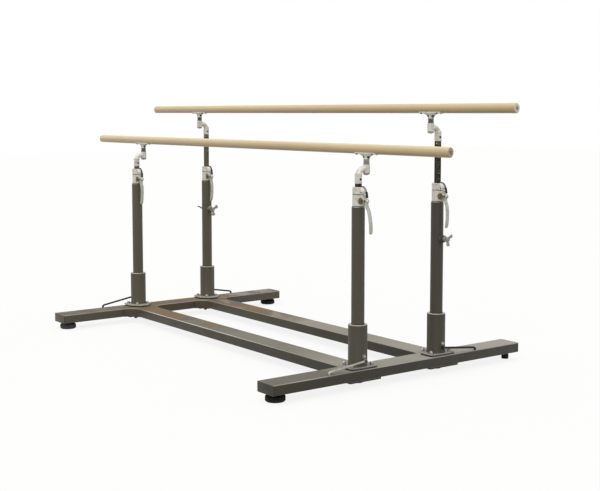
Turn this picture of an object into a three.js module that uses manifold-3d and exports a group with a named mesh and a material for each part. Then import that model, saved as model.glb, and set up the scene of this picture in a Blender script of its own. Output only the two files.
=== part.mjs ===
// Parallel bars: two oval wooden rails on four telescopic uprights over a rectangular tube base.
// Millimetres, +Z up. The rails run along X, +Y goes from the near rail to the far rail, and the
// origin lies on the floor under the middle of the base.
import * as THREE from 'three';
import { mergeVertices } from 'three/addons/utils/BufferGeometryUtils.js';
import Module from 'manifold-3d';

const wasm = await Module();
wasm.setup();

// Fits
const seat = 0.3;
const runningGap = 0.8;
const overrun = 6;
const weldBite = 1;
const castEdge = 1.5;
const roundSides = 16;
const poleSides = 12;
const discSides = 10;
const boltSides = 8;
const hexSides = 6;
const cornerSteps = 2;

// Base frame
const columnSpacing = 2300;
const columnTrack = 540;
const crossBeamLength = 1678;
const beamWidth = 134;
const beamHeight = 54;
const beamWall = 3;
const beamCorner = 6;
const gussetRadius = 78;
const gussetLand = 8;
const gussetSteps = 5;
const floorGap = 42;
const capThickness = 4;
const plugDepth = 20;
const backingLength = 205;
const backingThickness = 8;

// Feet
const footInset = 59;
const padDiameter = 100;
const padHeight = 31;
const padLip = 6;
const padNeckDiameter = 46;
const levellerInset = 36;
const levellerDiameter = 40;
const levellerHeight = 25;
const levellerStemDiameter = 14;
const levellerReach = 24;
const levellerBossDiameter = 34;

// Sockets and base plates
const plateThickness = 11;
const packingThickness = 8;
const packingInset = 4;
const plateOuterReach = 59;
const plateInnerReach = 84;
const plateHalfLength = 87;
const plateCornerCut = 13;
const plateInnerHalfWidth = 30;
const plateFlankReach = 22;
const socketDiameter = 98;
const socketHeight = 202;
const socketRimBevel = 3;
const socketGrooveDrop = 18;
const socketGrooveWidth = 4;
const socketGrooveDepth = 1.5;
const nutAcrossCorners = 21;
const nutHeight = 8;
const nutDomeHeight = 8;
const outerNutReach = 32;
const outerNutHalfPitch = 62;
const innerNutReach = 52;
const innerNutHalfPitch = 46;
const pinchNutRise = 21;

// Lock levers beside the sockets
const leftLeverHeight = 53;
const rightLeverHeight = 41;
const leverBossDiameter = 19;
const leverBossReach = 55;
const leverPinDiameter = 10;
const leverPinHeadDiameter = 17;
const leverPinHeadThickness = 4;
const leverEyeDiameter = 19;
const leverEyeThickness = 10;
const leverRodDiameter = 11;
const leverSpan = 232;
const leverTipHeight = 14;
const leverPegBend = 15;
const leverRodSides = 6;
const leverPegSteps = 2;

// Columns
const columnDiameter = 67;
const columnWall = 4;
const columnTop = 911;
const columnEdge = 2;
const screwBelowLever = 59.3;
const screwBossDiameter = 40;
const screwBossReach = 50;

// Hand screws
const screwStemDiameter = 12;
const screwHubDiameter = 26;
const screwHubLength = 36;
const screwLobeRadius = 43;
const screwValleyRadius = 12;
const screwLobeThickness = 10;
const screwLobeCount = 3;
const screwLobeTurn = 0.58;
const screwLobePoints = 6;

// Clamp heads
const headHeight = 97;
const headRadius = 30;
const headNoseReach = 50;
const headNoseHalfWidth = 16;
const headNoseCorner = 5;
const headLowerRound = 16;
const headSlitHeight = 59;
const headSlitGap = 3;
const headNeckRadius = 24;
const headShoulderStart = 17;
const headShoulderEnd = 47;
const headShoulderSteps = 4;
const headSteps = 10;
const headSpigotLength = 45;
const lugReach = 63;
const lugHeight = 29;
const lugRadius = 9;
const lugThickness = 12;
const lugSteps = 4;
const lugPinDiameter = 8;
const brassReach = 42;
const brassDiameter = 33;
const brassThickness = 7;
const brassBossDiameter = 20;
const brassBossHeight = 3;
const brassSlot = 3;
const brassShaftDiameter = 13;
const brassNutDiameter = 22;
const brassNutThickness = 5;
const setScrewReach = 40;
const setScrewHeight = 71;
const setScrewDiameter = 7;
const setScrewDepth = 4;

// Latch straps over the heads
const strapThickness = 4;
const strapWidth = 8;
const strapOffset = 10;
const strapFoot = 22;
const strapStep = 11;
const strapSteps = 7;

// Clamp levers
const clampEyeRadius = 11;
const clampLeverWidth = 20;
const clampLeverThickness = 11;
const clampLeverLength = 166;
const clampLeverBulge = 8;
const handleDownShares = [0, 0.15, 0.3, 0.5, 0.75, 0.9, 1];
const handleOutShares = [0, -0.25, 0.75, 1, 0.6, -0.1, -0.75];
const handleTipStartShare = 0.9;
const handleTipShare = 0.6;
const handleSteps = 8;
const nearRightLeverTurn = 14;
const farRightLeverTurn = 4;

// Poles and the detent holes down their racks
const poleDiameter = 35;
const poleNeckDiameter = 24;
const poleNeckLength = 42;
const poleFloorGap = 14;
const nearPoleShow = 16;
const farPoleShow = 219;
const detentPitch = 50;
const detentCount = 10;
const detentWidth = 9;
const detentHeight = 11;
const detentDepth = 5;
const detentTopDrop = 30;
const rackFlatDepth = 2;

// Goosenecks
const sleeveHeight = 53;
const sleeveDiameter = 37;
const neckOffset = 52;
const elbowRadius = 34;
const elbowWidth = 30;
const elbowSteps = 6;
const elbowSides = 10;
const bossDiameter = 36;
const bossHeight = 43;
const bossBottom = 51;
const sleeveScrewHeight = 22;
const sleeveScrewDiameter = 8;
const sleeveScrewDepth = 4;

// Swivels and saddles
const swivelDiameter = 30;
const swivelHeight = 22;
const swivelGrooveDepth = 2;
const swivelShankDiameter = 16;
const swivelNutCorners = 34;
const swivelNutHeight = 5;
const swivelPoint = 6;
const saddleHeight = 30;
const saddleLength = 172;
const saddleWidth = 30;
const saddleFlange = 6;
const saddleArmReach = 38;
const saddleNeckWidth = 29;
const saddleNeckHeight = 8;
const saddleRib = 7;
const saddleWing = 7;
const saddleWingEnd = 14;

// Rails
const railLength = 3500;
const railHeight = 50;
const railWidth = 40;
const railEndRound = 5;
const railSides = 28;

// Levels worked out from the stack of pieces
const beamTop = floorGap + beamHeight;
const plateStack = packingThickness + plateThickness;
const plateTop = beamTop + seat + plateStack;
const columnBottom = plateTop + seat;
const headBase = columnTop + seat;
const screwHeight = headBase + lugHeight - clampLeverLength - screwBelowLever;
const columnRadius = columnDiameter / 2;
const columnBore = columnRadius - columnWall;
const socketBore = columnRadius + runningGap;
const poleRadius = poleDiameter / 2;
const headBore = poleRadius + runningGap;
const bossTop = bossBottom + bossHeight;
const saddleBottom = bossTop + swivelHeight;
const railUnderside = saddleBottom + saddleHeight;
const poleLength = headBase + headHeight + nearPoleShow - columnBottom - poleFloorGap;

// Geometry helpers

// Turns a closed geometry into a solid with its faces outward.
function solid(geometry) {
  const bare = geometry.clone();
  for (const name of ['normal', 'uv']) bare.deleteAttribute(name);
  const merged = mergeVertices(bare);
  const corners = merged.index.array;
  const spots = merged.attributes.position;
  const triVerts = [];
  let volume = 0;
  for (let i = 0; i < corners.length; i += 3) {
    const [a, b, c] = corners.slice(i, i + 3);
    if (a === b || b === c || c === a) continue;
    const [p, q, r] = [a, b, c].map((n) => new THREE.Vector3().fromBufferAttribute(spots, n));
    volume += p.dot(q.cross(r));
    triVerts.push(a, b, c);
  }
  if (volume < 0) triVerts.reverse();
  return new wasm.Manifold(new wasm.Mesh({
    numProp: 3,
    vertProperties: spots.array,
    triVerts: Uint32Array.from(triVerts),
  }));
}

const right = new THREE.Vector3(1, 0, 0);
const back = new THREE.Vector3(0, 1, 0);
const up = new THREE.Vector3(0, 0, 1);
const front = back.clone().negate();

// Points on an arc, from one angle to another.
function arc(x, y, radius, from, to, steps) {
  return Array.from({ length: steps + 1 }, (_, i) => {
    const angle = from + (to - from) * i / steps;
    return [x + radius * Math.cos(angle), y + radius * Math.sin(angle)];
  });
}

// An outline through points, with any holes as lists of points too.
function polygon(points, holes = []) {
  const flat = (list) => list.map(([x, y]) => new THREE.Vector2(x, y));
  const outline = new THREE.Shape(flat(points));
  outline.holes = holes.map((hole) => new THREE.Path(flat(hole)));
  return outline;
}

// The points of a box outline with rounded corners, centred.
function roundedBox(width, height, corner, steps = cornerSteps) {
  const x = width / 2 - corner;
  const y = height / 2 - corner;
  const quarter = Math.PI / 2;
  return [
    ...arc(x, y, corner, 0, quarter, steps),
    ...arc(-x, y, corner, quarter, 2 * quarter, steps),
    ...arc(-x, -y, corner, 2 * quarter, 3 * quarter, steps),
    ...arc(x, -y, corner, 3 * quarter, 4 * quarter, steps),
  ];
}

// The points of a plain box outline, centred.
function plainBox(width, height) {
  const x = width / 2;
  const y = height / 2;
  return [[-x, -y], [x, -y], [x, y], [-x, y]];
}

// The points of a round or oval outline, centred.
function oval(width, height, steps) {
  return arc(0, 0, 1, 0, 2 * Math.PI * (1 - 1 / steps), steps - 1)
    .map(([x, y]) => [x * width / 2, y * height / 2]);
}

// Extrudes an outline in X and Y upward from z = 0.
function prismUp(points, height, holes = []) {
  return solid(new THREE.ExtrudeGeometry(polygon(points, holes), { depth: height, bevelEnabled: false }));
}

// The same, with its top and bottom edges taken off.
function softPrismUp(points, height, edge) {
  const geometry = new THREE.ExtrudeGeometry(polygon(points), {
    depth: height - 2 * edge,
    bevelSize: edge,
    bevelOffset: -edge,
    bevelThickness: edge,
    bevelSegments: 1,
  });
  return solid(geometry.translate(0, 0, edge));
}

// Turns a solid made upward so that it runs along +X, its outline in Y and Z.
function alongX(upright) {
  const turn = new THREE.Matrix4().makeBasis(back, up, right);
  return upright.transform(turn.toArray());
}

// Turns a solid made upward so that it lies across Y, centred, its outline in X and Z.
function acrossY(upright, depth) {
  const turn = new THREE.Matrix4().makeBasis(right, up, front);
  turn.setPosition(0, depth / 2, 0);
  return upright.transform(turn.toArray());
}

// Revolves points of [radius, height] about Z. They start and end on the axis, or close on themselves.
function turned(points, sides = roundSides) {
  const profile = points.map(([radius, height]) => new THREE.Vector2(radius, height));
  if (points[0][0] > 0) profile.push(profile[0].clone());
  return solid(new THREE.LatheGeometry(profile, sides).rotateX(Math.PI / 2));
}

function rod(radius, bottom, top, sides = roundSides) {
  return turned([[0, bottom], [radius, bottom], [radius, top], [0, top]], sides);
}

function ring(inner, outer, bottom, top, sides = roundSides) {
  return turned([[inner, bottom], [outer, bottom], [outer, top], [inner, top]], sides);
}

// The points of a band of even or tapering thickness along a smooth line in its own plane.
function band(points, thicknessAt, steps) {
  const line = new THREE.SplineCurve(points.map(([x, y]) => new THREE.Vector2(x, y)));
  const one = [];
  const other = [];
  for (let i = 0; i <= steps; i += 1) {
    const share = i / steps;
    const spot = line.getPoint(share);
    const course = line.getTangent(share);
    const half = thicknessAt(share) / 2;
    one.push([spot.x - course.y * half, spot.y + course.x * half]);
    other.unshift([spot.x + course.y * half, spot.y - course.x * half]);
  }
  return [...one, ...other];
}

// Sweeps a round section along a path.
function swept(path, diameter, steps, sides) {
  const section = polygon(oval(diameter, diameter, sides));
  return solid(new THREE.ExtrudeGeometry(section, { steps, extrudePath: path }));
}

// Materials
const paint = { color: 0x57524b, roughness: 0.45, metalness: 0.3 };
const casting = { color: 0xdad8d0, roughness: 0.4, metalness: 0.1 };
const steel = { color: 0x45443f, roughness: 0.35, metalness: 0.8 };
const brass = { color: 0x75693a, roughness: 0.4, metalness: 0.8 };
const zinc = { color: 0x8d8b86, roughness: 0.35, metalness: 0.9 };
const rubber = { color: 0x1b1919, roughness: 0.85, metalness: 0 };
const wood = { color: 0xd2b484, roughness: 0.5, metalness: 0 };

// Places a solid in a group as a named mesh.
function place(group, name, shape, finish, x = 0, y = 0, z = 0) {
  const made = shape.getMesh();
  const geometry = new THREE.BufferGeometry();
  geometry.setAttribute('position', new THREE.BufferAttribute(made.vertProperties, made.numProp));
  geometry.setIndex(new THREE.BufferAttribute(made.triVerts, 1));
  geometry.computeVertexNormals();
  const mesh = new THREE.Mesh(geometry, new THREE.MeshStandardMaterial(finish));
  mesh.name = name;
  mesh.position.set(x, y, z);
  group.add(mesh);
}

// Base beams

// A cross beam lies along Y over its two backing plates. The one with the levelling foot has its nut.
function crossBeam(hasLeveller) {
  const length = crossBeamLength - 2 * (capThickness + seat);
  const inside = roundedBox(beamWidth - 2 * beamWall, beamHeight - 2 * beamWall, beamCorner - beamWall, 1);
  const outside = roundedBox(beamWidth, beamHeight, beamCorner);
  let beam = acrossY(prismUp(outside, length, [inside]), length);
  const backing = roundedBox(beamWidth, backingLength, beamCorner, 1);
  for (const side of [-1, 1]) {
    const plate = prismUp(backing, backingThickness + weldBite);
    beam = beam.add(plate.translate([0, side * columnTrack / 2, -beamHeight / 2 - backingThickness]));
  }
  if (!hasLeveller) return beam;
  const y = crossBeamLength / 2 - levellerInset;
  const drop = floorGap - levellerHeight - seat;
  const hole = levellerStemDiameter / 2 + runningGap;
  const nut = rod(levellerBossDiameter / 2, -drop, weldBite, boltSides);
  const bore = rod(hole, -drop - overrun, beamWall + overrun, boltSides);
  const below = [0, y, -beamHeight / 2];
  return beam.add(nut.translate(below)).subtract(bore.translate(below));
}

// The plan of a long beam with its ends flared into the corners of the frame, drawn in by inset.
function flaredPlan(inset, extra) {
  const half = columnSpacing / 2 - beamWidth / 2 - seat;
  const radius = gussetRadius + inset;
  const centreX = half - gussetLand - gussetRadius;
  const centreY = beamWidth / 2 + gussetRadius;
  const open = Math.acos(gussetRadius / radius);
  const endY = centreY - radius * Math.sin(open);
  const sweep = arc(centreX, centreY, radius, -open, -Math.PI / 2, gussetSteps);
  const quarter = [[half + extra, endY], ...sweep];
  const rear = quarter.map(([x, y]) => [-x, y]).reverse();
  const upper = [...quarter, ...rear];
  return [...upper, ...upper.map(([x, y]) => [x, -y]).reverse()];
}

function longBeam() {
  const outer = softPrismUp(flaredPlan(0, 0), beamHeight, beamWall);
  const inner = prismUp(flaredPlan(beamWall, overrun), beamHeight - 2 * beamWall);
  return outer.subtract(inner.translate([0, 0, beamWall]));
}

// An end cap faces +Y, with its plug inside the tube behind it.
function endCap() {
  const face = softPrismUp(roundedBox(beamWidth, beamHeight, beamCorner), capThickness, castEdge);
  const slack = 2 * (beamWall + runningGap);
  const within = roundedBox(beamWidth - slack, beamHeight - slack, beamCorner - beamWall, 1);
  const plug = prismUp(within, plugDepth);
  const cap = face.add(plug.translate([0, 0, capThickness - weldBite]));
  const turn = new THREE.Matrix4().makeBasis(right, up, front);
  return cap.transform(turn.toArray());
}

// Feet

function padFoot() {
  const radius = padDiameter / 2;
  const neck = padNeckDiameter / 2;
  return turned([
    [0, 0],
    [radius - padLip, 0],
    [radius, padLip],
    [radius, padHeight - padLip],
    [radius - padLip, padHeight],
    [neck, padHeight],
    [neck, floorGap - seat],
    [0, floorGap - seat],
  ], poleSides);
}

function levellingFoot() {
  const radius = levellerDiameter / 2;
  const stem = levellerStemDiameter / 2;
  const top = floorGap + levellerReach;
  return turned([
    [0, 0],
    [radius - castEdge, 0],
    [radius, castEdge],
    [radius, levellerHeight - castEdge],
    [radius - castEdge, levellerHeight],
    [stem, levellerHeight],
    [stem, top],
    [0, top],
  ], boltSides);
}

// Sockets

// A hexagon nut with a domed end, standing on z = 0.
function domeNut() {
  return turned([
    [0, -weldBite],
    [nutAcrossCorners / 2, -weldBite],
    [nutAcrossCorners / 2, nutHeight],
    [0, nutHeight + nutDomeHeight],
  ], hexSides);
}

// The base plate's plan, drawn in by inset. The side that reaches furthest lies over the long beam.
function platePlan(inset) {
  const cut = plateCornerCut;
  const outerX = plateOuterReach - inset;
  const halfY = plateHalfLength - inset;
  const half = [
    [outerX, halfY - cut],
    [outerX - cut, halfY],
    [-plateFlankReach, halfY],
    [inset - plateInnerReach, plateInnerHalfWidth],
  ];
  const mirrored = half.map(([x, y]) => [x, -y]).reverse();
  return [...half, ...mirrored];
}

function socketTube() {
  const radius = socketDiameter / 2;
  const top = plateStack + socketHeight;
  const groove = top - socketGrooveDrop;
  const deep = radius - socketGrooveDepth;
  return turned([
    [socketBore, plateStack - weldBite],
    [radius, plateStack - weldBite],
    [radius, groove - socketGrooveWidth],
    [deep, groove - socketGrooveWidth / 2],
    [radius, groove],
    [radius, top - socketRimBevel],
    [radius - socketRimBevel, top],
    [socketBore, top],
  ]);
}

// A socket on its base plate and packing, with the lock lever's pin toward +X. Its underside is z = 0.
function socket(leverHeight) {
  const plate = softPrismUp(platePlan(0), plateThickness, castEdge).translate([0, 0, packingThickness]);
  const packing = prismUp(platePlan(packingInset), packingThickness + weldBite);
  let shape = plate.add(packing).add(socketTube());
  const nutPlaces = [
    [outerNutReach, outerNutHalfPitch],
    [outerNutReach, -outerNutHalfPitch],
    [-innerNutReach, innerNutHalfPitch],
    [-innerNutReach, -innerNutHalfPitch],
  ];
  for (const [x, y] of nutPlaces) shape = shape.add(domeNut().translate([x, y, plateStack]));
  const wall = (socketDiameter / 2 + socketBore) / 2;
  const boss = rod(leverBossDiameter / 2, wall, leverBossReach, boltSides);
  const pinEnd = leverBossReach + leverEyeThickness + 2 * runningGap;
  const pin = rod(leverPinDiameter / 2, wall, pinEnd + weldBite, boltSides);
  const head = rod(leverPinHeadDiameter / 2, pinEnd, pinEnd + leverPinHeadThickness, boltSides);
  const pinned = alongX(boss.add(pin).add(head)).translate([0, 0, leverHeight]);
  const pinch = alongX(domeNut()).translate([socketDiameter / 2, 0, leverHeight + pinchNutRise]);
  return shape.add(pinned).add(pinch);
}

// A lock lever with its eye on the X axis at the origin, its rod running outward and down to a peg.
function lockLever(outward, leverHeight) {
  const drop = leverHeight - leverTipHeight;
  const eye = ring(leverPinDiameter / 2 + runningGap, leverEyeDiameter / 2, 0, leverEyeThickness, boltSides);
  const start = leverEyeDiameter / 2 - weldBite;
  const bend = leverPegBend;
  const dropAt = (y) => -drop * y / leverSpan;
  const rodPath = new THREE.LineCurve3(
    new THREE.Vector3(0, outward * start, dropAt(start)),
    new THREE.Vector3(0, outward * (leverSpan - bend), dropAt(leverSpan - bend)),
  );
  const tipPath = new THREE.QuadraticBezierCurve3(
    rodPath.v2.clone().lerp(rodPath.v1, weldBite / leverSpan),
    new THREE.Vector3(0, outward * leverSpan, dropAt(leverSpan)),
    new THREE.Vector3(0, outward * leverSpan, -leverHeight),
  );
  const shaft = swept(rodPath, leverRodDiameter, 1, leverRodSides);
  const tip = swept(tipPath, leverRodDiameter, leverPegSteps, leverRodSides);
  const middle = [leverEyeThickness / 2, 0, 0];
  return alongX(eye).add(shaft.translate(middle)).add(tip.translate(middle));
}

// Columns

// A column tube from the socket's floor to the clamp head. A far column has the hand screw's boss.
function column(hasScrewBoss) {
  const length = columnTop - columnBottom;
  let tube = turned([
    [columnBore, 0],
    [columnRadius, 0],
    [columnRadius, length - columnEdge],
    [columnRadius - columnEdge / 2, length],
    [columnBore, length],
  ]);
  if (!hasScrewBoss) return tube;
  const height = [0, 0, screwHeight - columnBottom];
  const middle = columnRadius - columnWall / 2;
  const boss = rod(screwBossDiameter / 2, middle, screwBossReach, boltSides);
  const hole = rod(screwStemDiameter / 2 + runningGap, 0, screwBossReach + overrun, boltSides);
  const hollow = rod(columnBore, -overrun, length + overrun);
  tube = tube.add(alongX(boss).translate(height)).subtract(alongX(hole).translate(height));
  return tube.subtract(hollow);
}

// A hand screw along +X from the origin, with three lobes on its hub.
function handScrew() {
  const hubStart = screwBossReach + runningGap;
  const hubEnd = hubStart + screwHubLength;
  const middle = (screwLobeRadius + screwValleyRadius) / 2;
  const swing = (screwLobeRadius - screwValleyRadius) / 2;
  const outline = [];
  const points = screwLobePoints * screwLobeCount;
  for (let i = 0; i < points; i += 1) {
    const angle = 2 * Math.PI * i / points;
    const reach = middle + swing * Math.cos(screwLobeCount * (angle - screwLobeTurn));
    outline.push([reach * Math.cos(angle), reach * Math.sin(angle)]);
  }
  const lobes = softPrismUp(outline, screwLobeThickness, castEdge);
  const stem = rod(screwStemDiameter / 2, columnBore, hubStart + weldBite, boltSides);
  const hub = turned([
    [0, hubStart],
    [screwHubDiameter / 2, hubStart],
    [screwHubDiameter / 2 - castEdge, hubEnd + castEdge],
    [0, hubEnd + castEdge],
  ], boltSides);
  return alongX(stem.add(hub).add(lobes.translate([0, 0, hubEnd - screwLobeThickness])));
}

// Clamp heads

// The head's plan: a round body with a nose toward +X.
function headPlan() {
  const side = headNoseHalfWidth;
  const tip = headNoseReach;
  const corner = headNoseCorner;
  const open = Math.asin(side / headRadius);
  return [
    ...arc(0, 0, headRadius, open, 2 * Math.PI - open, headSteps),
    ...arc(tip - corner, -side + corner, corner, -Math.PI / 2, 0, cornerSteps),
    ...arc(tip - corner, side - corner, corner, 0, Math.PI / 2, cornerSteps),
  ];
}

// The head's side: a rounded lower corner on the nose and a shoulder that falls away to the front.
function headSide() {
  const rear = -headRadius - overrun;
  const tip = headNoseReach;
  const slitTop = headSlitHeight + headSlitGap;
  const shoulder = new THREE.QuadraticBezierCurve(
    new THREE.Vector2(headShoulderEnd, slitTop),
    new THREE.Vector2(headShoulderEnd, headHeight),
    new THREE.Vector2(headShoulderStart, headHeight),
  );
  return [
    [rear, 0],
    ...arc(tip - headLowerRound, headLowerRound, headLowerRound, -Math.PI / 2, 0, cornerSteps + 1),
    [tip, headSlitHeight],
    ...shoulder.getPoints(headShoulderSteps).map(({ x, y }) => [x, y]),
    [rear, headHeight],
  ];
}

// A clamp head standing on z = 0, with its spigot below and the lever's lug in front.
function clampHead() {
  const depth = 2 * headRadius + 2 * overrun;
  const spigot = rod(columnBore - runningGap, -headSpigotLength, weldBite, poleSides);
  const slitTop = headSlitHeight + headSlitGap;
  const slit = rod(headNoseReach + overrun, headSlitHeight, slitTop, poleSides);
  const neck = rod(headNeckRadius, headSlitHeight - weldBite, slitTop + weldBite, poleSides);
  const bore = rod(headBore, -headSpigotLength - overrun, headHeight + overrun, poleSides);
  const lugPlan = [
    [headNoseReach - weldBite, -lugRadius],
    ...arc(lugReach, 0, lugRadius, -Math.PI / 2, Math.PI / 2, lugSteps),
    [headNoseReach - weldBite, lugRadius],
  ];
  const holeSize = lugPinDiameter + 2 * runningGap;
  const lugHole = oval(holeSize, holeSize, boltSides).map(([x, y]) => [x + lugReach, y]);
  const lug = acrossY(prismUp(lugPlan, lugThickness, [lugHole]), lugThickness).translate([0, 0, lugHeight]);
  const shaft = rod(brassShaftDiameter / 2 + runningGap, 0, depth, boltSides);
  const shaftBore = acrossY(shaft, depth).translate([brassReach, 0, lugHeight]);
  const screwSeat = headNoseHalfWidth - setScrewDepth;
  const screwHole = rod(setScrewDiameter / 2, screwSeat, headRadius + overrun, boltSides);
  const screwBore = acrossY(screwHole, 0).translate([setScrewReach, 0, setScrewHeight]);
  return prismUp(headPlan(), headHeight)
    .intersect(acrossY(prismUp(headSide(), depth), depth))
    .subtract(slit.subtract(neck))
    .add(spigot)
    .add(lug)
    .subtract(bore)
    .subtract(shaftBore)
    .subtract(screwBore);
}

// The strap that runs from the head's top over its shoulder to just above the lever's eye.
function latchStrap() {
  const lift = strapThickness / 2 + seat;
  const line = [
    [headBore + seat, headHeight + lift],
    [headBore + strapFoot / 2, headHeight + lift],
    [headShoulderEnd - lift, headHeight - lugRadius],
    [headNoseReach + strapThickness, headSlitHeight + strapStep],
    [lugReach - clampEyeRadius / 2, headSlitHeight - strapThickness],
    [lugReach - strapThickness / 2, lugHeight + clampEyeRadius + strapThickness],
  ];
  const outline = band(line, () => strapThickness, strapSteps);
  return acrossY(prismUp(outline, strapWidth), strapWidth).translate([0, strapOffset, 0]);
}

// The brass clamp bolt through the nose, its wide head toward -Y.
function clampBolt() {
  const face = headNoseHalfWidth + seat;
  const shaft = brassShaftDiameter / 2;
  const inner = brassBossDiameter / 2;
  const outer = brassDiameter / 2;
  const nut = brassNutDiameter / 2;
  const bolt = turned([
    [0, -face - brassNutThickness],
    [nut, -face - brassNutThickness],
    [nut, -face],
    [shaft, -face],
    [shaft, face],
    [outer, face],
    [outer - castEdge, face + brassThickness],
    [inner, face + brassThickness],
    [inner, face + brassThickness + brassBossHeight],
    [0, face + brassThickness + brassBossHeight],
  ], discSides);
  const slot = prismUp(plainBox(brassBossDiameter, brassSlot), brassBossHeight + overrun);
  return acrossY(bolt.subtract(slot.translate([0, 0, face + brassThickness + brassBossHeight / 2])), 0);
}

// A clamp lever about its pin at the origin: a forked eye over the lug and a bulging handle below.
function clampLever() {
  const line = handleDownShares.map((down, i) => [
    handleOutShares[i] * clampLeverBulge,
    -down * clampLeverLength,
  ]);
  const thicknessAt = (share) => {
    const tip = Math.max(0, (share - handleTipStartShare) / (1 - handleTipStartShare));
    return clampLeverThickness * THREE.MathUtils.lerp(1, handleTipShare, tip);
  };
  const handle = softPrismUp(band(line, thicknessAt, handleSteps), clampLeverWidth, castEdge);
  const eye = rod(clampEyeRadius, 0, clampLeverWidth, boltSides);
  const forkHeight = 2 * (clampEyeRadius + runningGap);
  const forkDepth = 2 * (lugReach - headNoseReach);
  const forkGap = lugThickness + 2 * runningGap;
  const slot = prismUp(plainBox(forkDepth, forkHeight), forkGap);
  const room = (clampLeverWidth - forkGap) / 2;
  const pin = rod(lugPinDiameter / 2, 0, clampLeverWidth + 2 * castEdge, boltSides);
  const forked = handle.add(eye).subtract(slot.translate([0, 0, room]));
  return acrossY(forked.add(pin.translate([0, 0, -castEdge])), clampLeverWidth);
}

// Poles and goosenecks

// A pole hanging below z = 0, where the gooseneck's sleeve rests, with its flat and detents toward +X.
function pole() {
  const neck = poleNeckDiameter / 2;
  let shape = turned([
    [0, -poleLength],
    [poleRadius - columnEdge, -poleLength],
    [poleRadius, -poleLength + columnEdge],
    [poleRadius, 0],
    [neck, 0],
    [neck, poleNeckLength],
    [0, poleNeckLength],
  ], poleSides);
  const notch = prismUp(plainBox(detentWidth, detentHeight), poleRadius);
  const hole = alongX(notch).translate([poleRadius - detentDepth, 0, 0]);
  const face = poleRadius - rackFlatDepth;
  const slab = prismUp(plainBox(poleDiameter, poleLength + overrun), poleRadius);
  shape = shape.subtract(alongX(slab).translate([face, 0, -(poleLength + overrun) / 2]));
  for (let i = 0; i < detentCount; i += 1) {
    shape = shape.subtract(hole.translate([0, 0, -detentTopDrop - i * detentPitch]));
  }
  return shape;
}

// A gooseneck on the pole's shoulder at z = seat: a sleeve, a quarter bend and the swivel's boss.
function gooseneck(inward) {
  const middle = bossBottom + bossHeight / 2;
  const start = middle - elbowRadius;
  const bend = new THREE.CurvePath();
  bend.add(new THREE.LineCurve3(
    new THREE.Vector3(0, 0, start - weldBite),
    new THREE.Vector3(0, 0, start),
  ));
  bend.add(new THREE.QuadraticBezierCurve3(
    new THREE.Vector3(0, 0, start),
    new THREE.Vector3(0, 0, middle),
    new THREE.Vector3(0, inward * elbowRadius, middle),
  ));
  bend.add(new THREE.LineCurve3(
    new THREE.Vector3(0, inward * elbowRadius, middle),
    new THREE.Vector3(0, inward * neckOffset, middle),
  ));
  const arm = swept(bend, elbowWidth, elbowSteps, elbowSides);
  const sleeveRadius = sleeveDiameter / 2;
  const sleeve = turned([
    [0, 0],
    [sleeveRadius, 0],
    [sleeveRadius, sleeveHeight - castEdge],
    [sleeveRadius - castEdge, sleeveHeight],
    [0, sleeveHeight],
  ], poleSides);
  const bossRadius = bossDiameter / 2;
  const boss = turned([
    [0, bossBottom],
    [bossRadius, bossBottom],
    [bossRadius, bossTop - castEdge],
    [bossRadius - castEdge, bossTop],
    [0, bossTop],
  ], poleSides);
  const neckBore = rod(poleNeckDiameter / 2 + seat, -overrun, poleNeckLength + seat, poleSides);
  const swivelHole = swivelShankDiameter / 2 + runningGap;
  const swivelBore = rod(swivelHole, bossBottom - overrun, bossTop + overrun, boltSides);
  const screwSeat = sleeveRadius - sleeveScrewDepth;
  const screwHole = rod(sleeveScrewDiameter / 2, screwSeat, sleeveRadius + overrun, boltSides);
  const aside = [0, inward * neckOffset, 0];
  return sleeve
    .add(arm)
    .add(boss.translate(aside))
    .subtract(neckBore)
    .subtract(swivelBore.translate(aside))
    .subtract(alongX(screwHole).translate([0, 0, sleeveScrewHeight]));
}

// The swivel bolt, from its pointed nut under the boss to the collar under the saddle.
function swivelBolt() {
  const shank = swivelShankDiameter / 2;
  const collar = swivelDiameter / 2;
  const collarBottom = bossTop + runningGap;
  const collarTop = saddleBottom - seat;
  const grooveAt = (collarBottom + collarTop) / 2;
  const nutTop = bossBottom - runningGap;
  const nut = turned([
    [0, nutTop - swivelNutHeight - swivelPoint],
    [swivelNutCorners / 4, nutTop - swivelNutHeight - swivelPoint / 2],
    [swivelNutCorners / 2, nutTop - swivelNutHeight],
    [swivelNutCorners / 2, nutTop],
    [0, nutTop],
  ], hexSides);
  const bolt = turned([
    [0, nutTop - weldBite],
    [shank, nutTop - weldBite],
    [shank, collarBottom],
    [collar, collarBottom],
    [collar, grooveAt - swivelGrooveDepth],
    [collar - swivelGrooveDepth, grooveAt],
    [collar - swivelGrooveDepth, collarTop],
    [0, collarTop],
  ], boltSides);
  return nut.add(bolt);
}

// Saddles and rails

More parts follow.
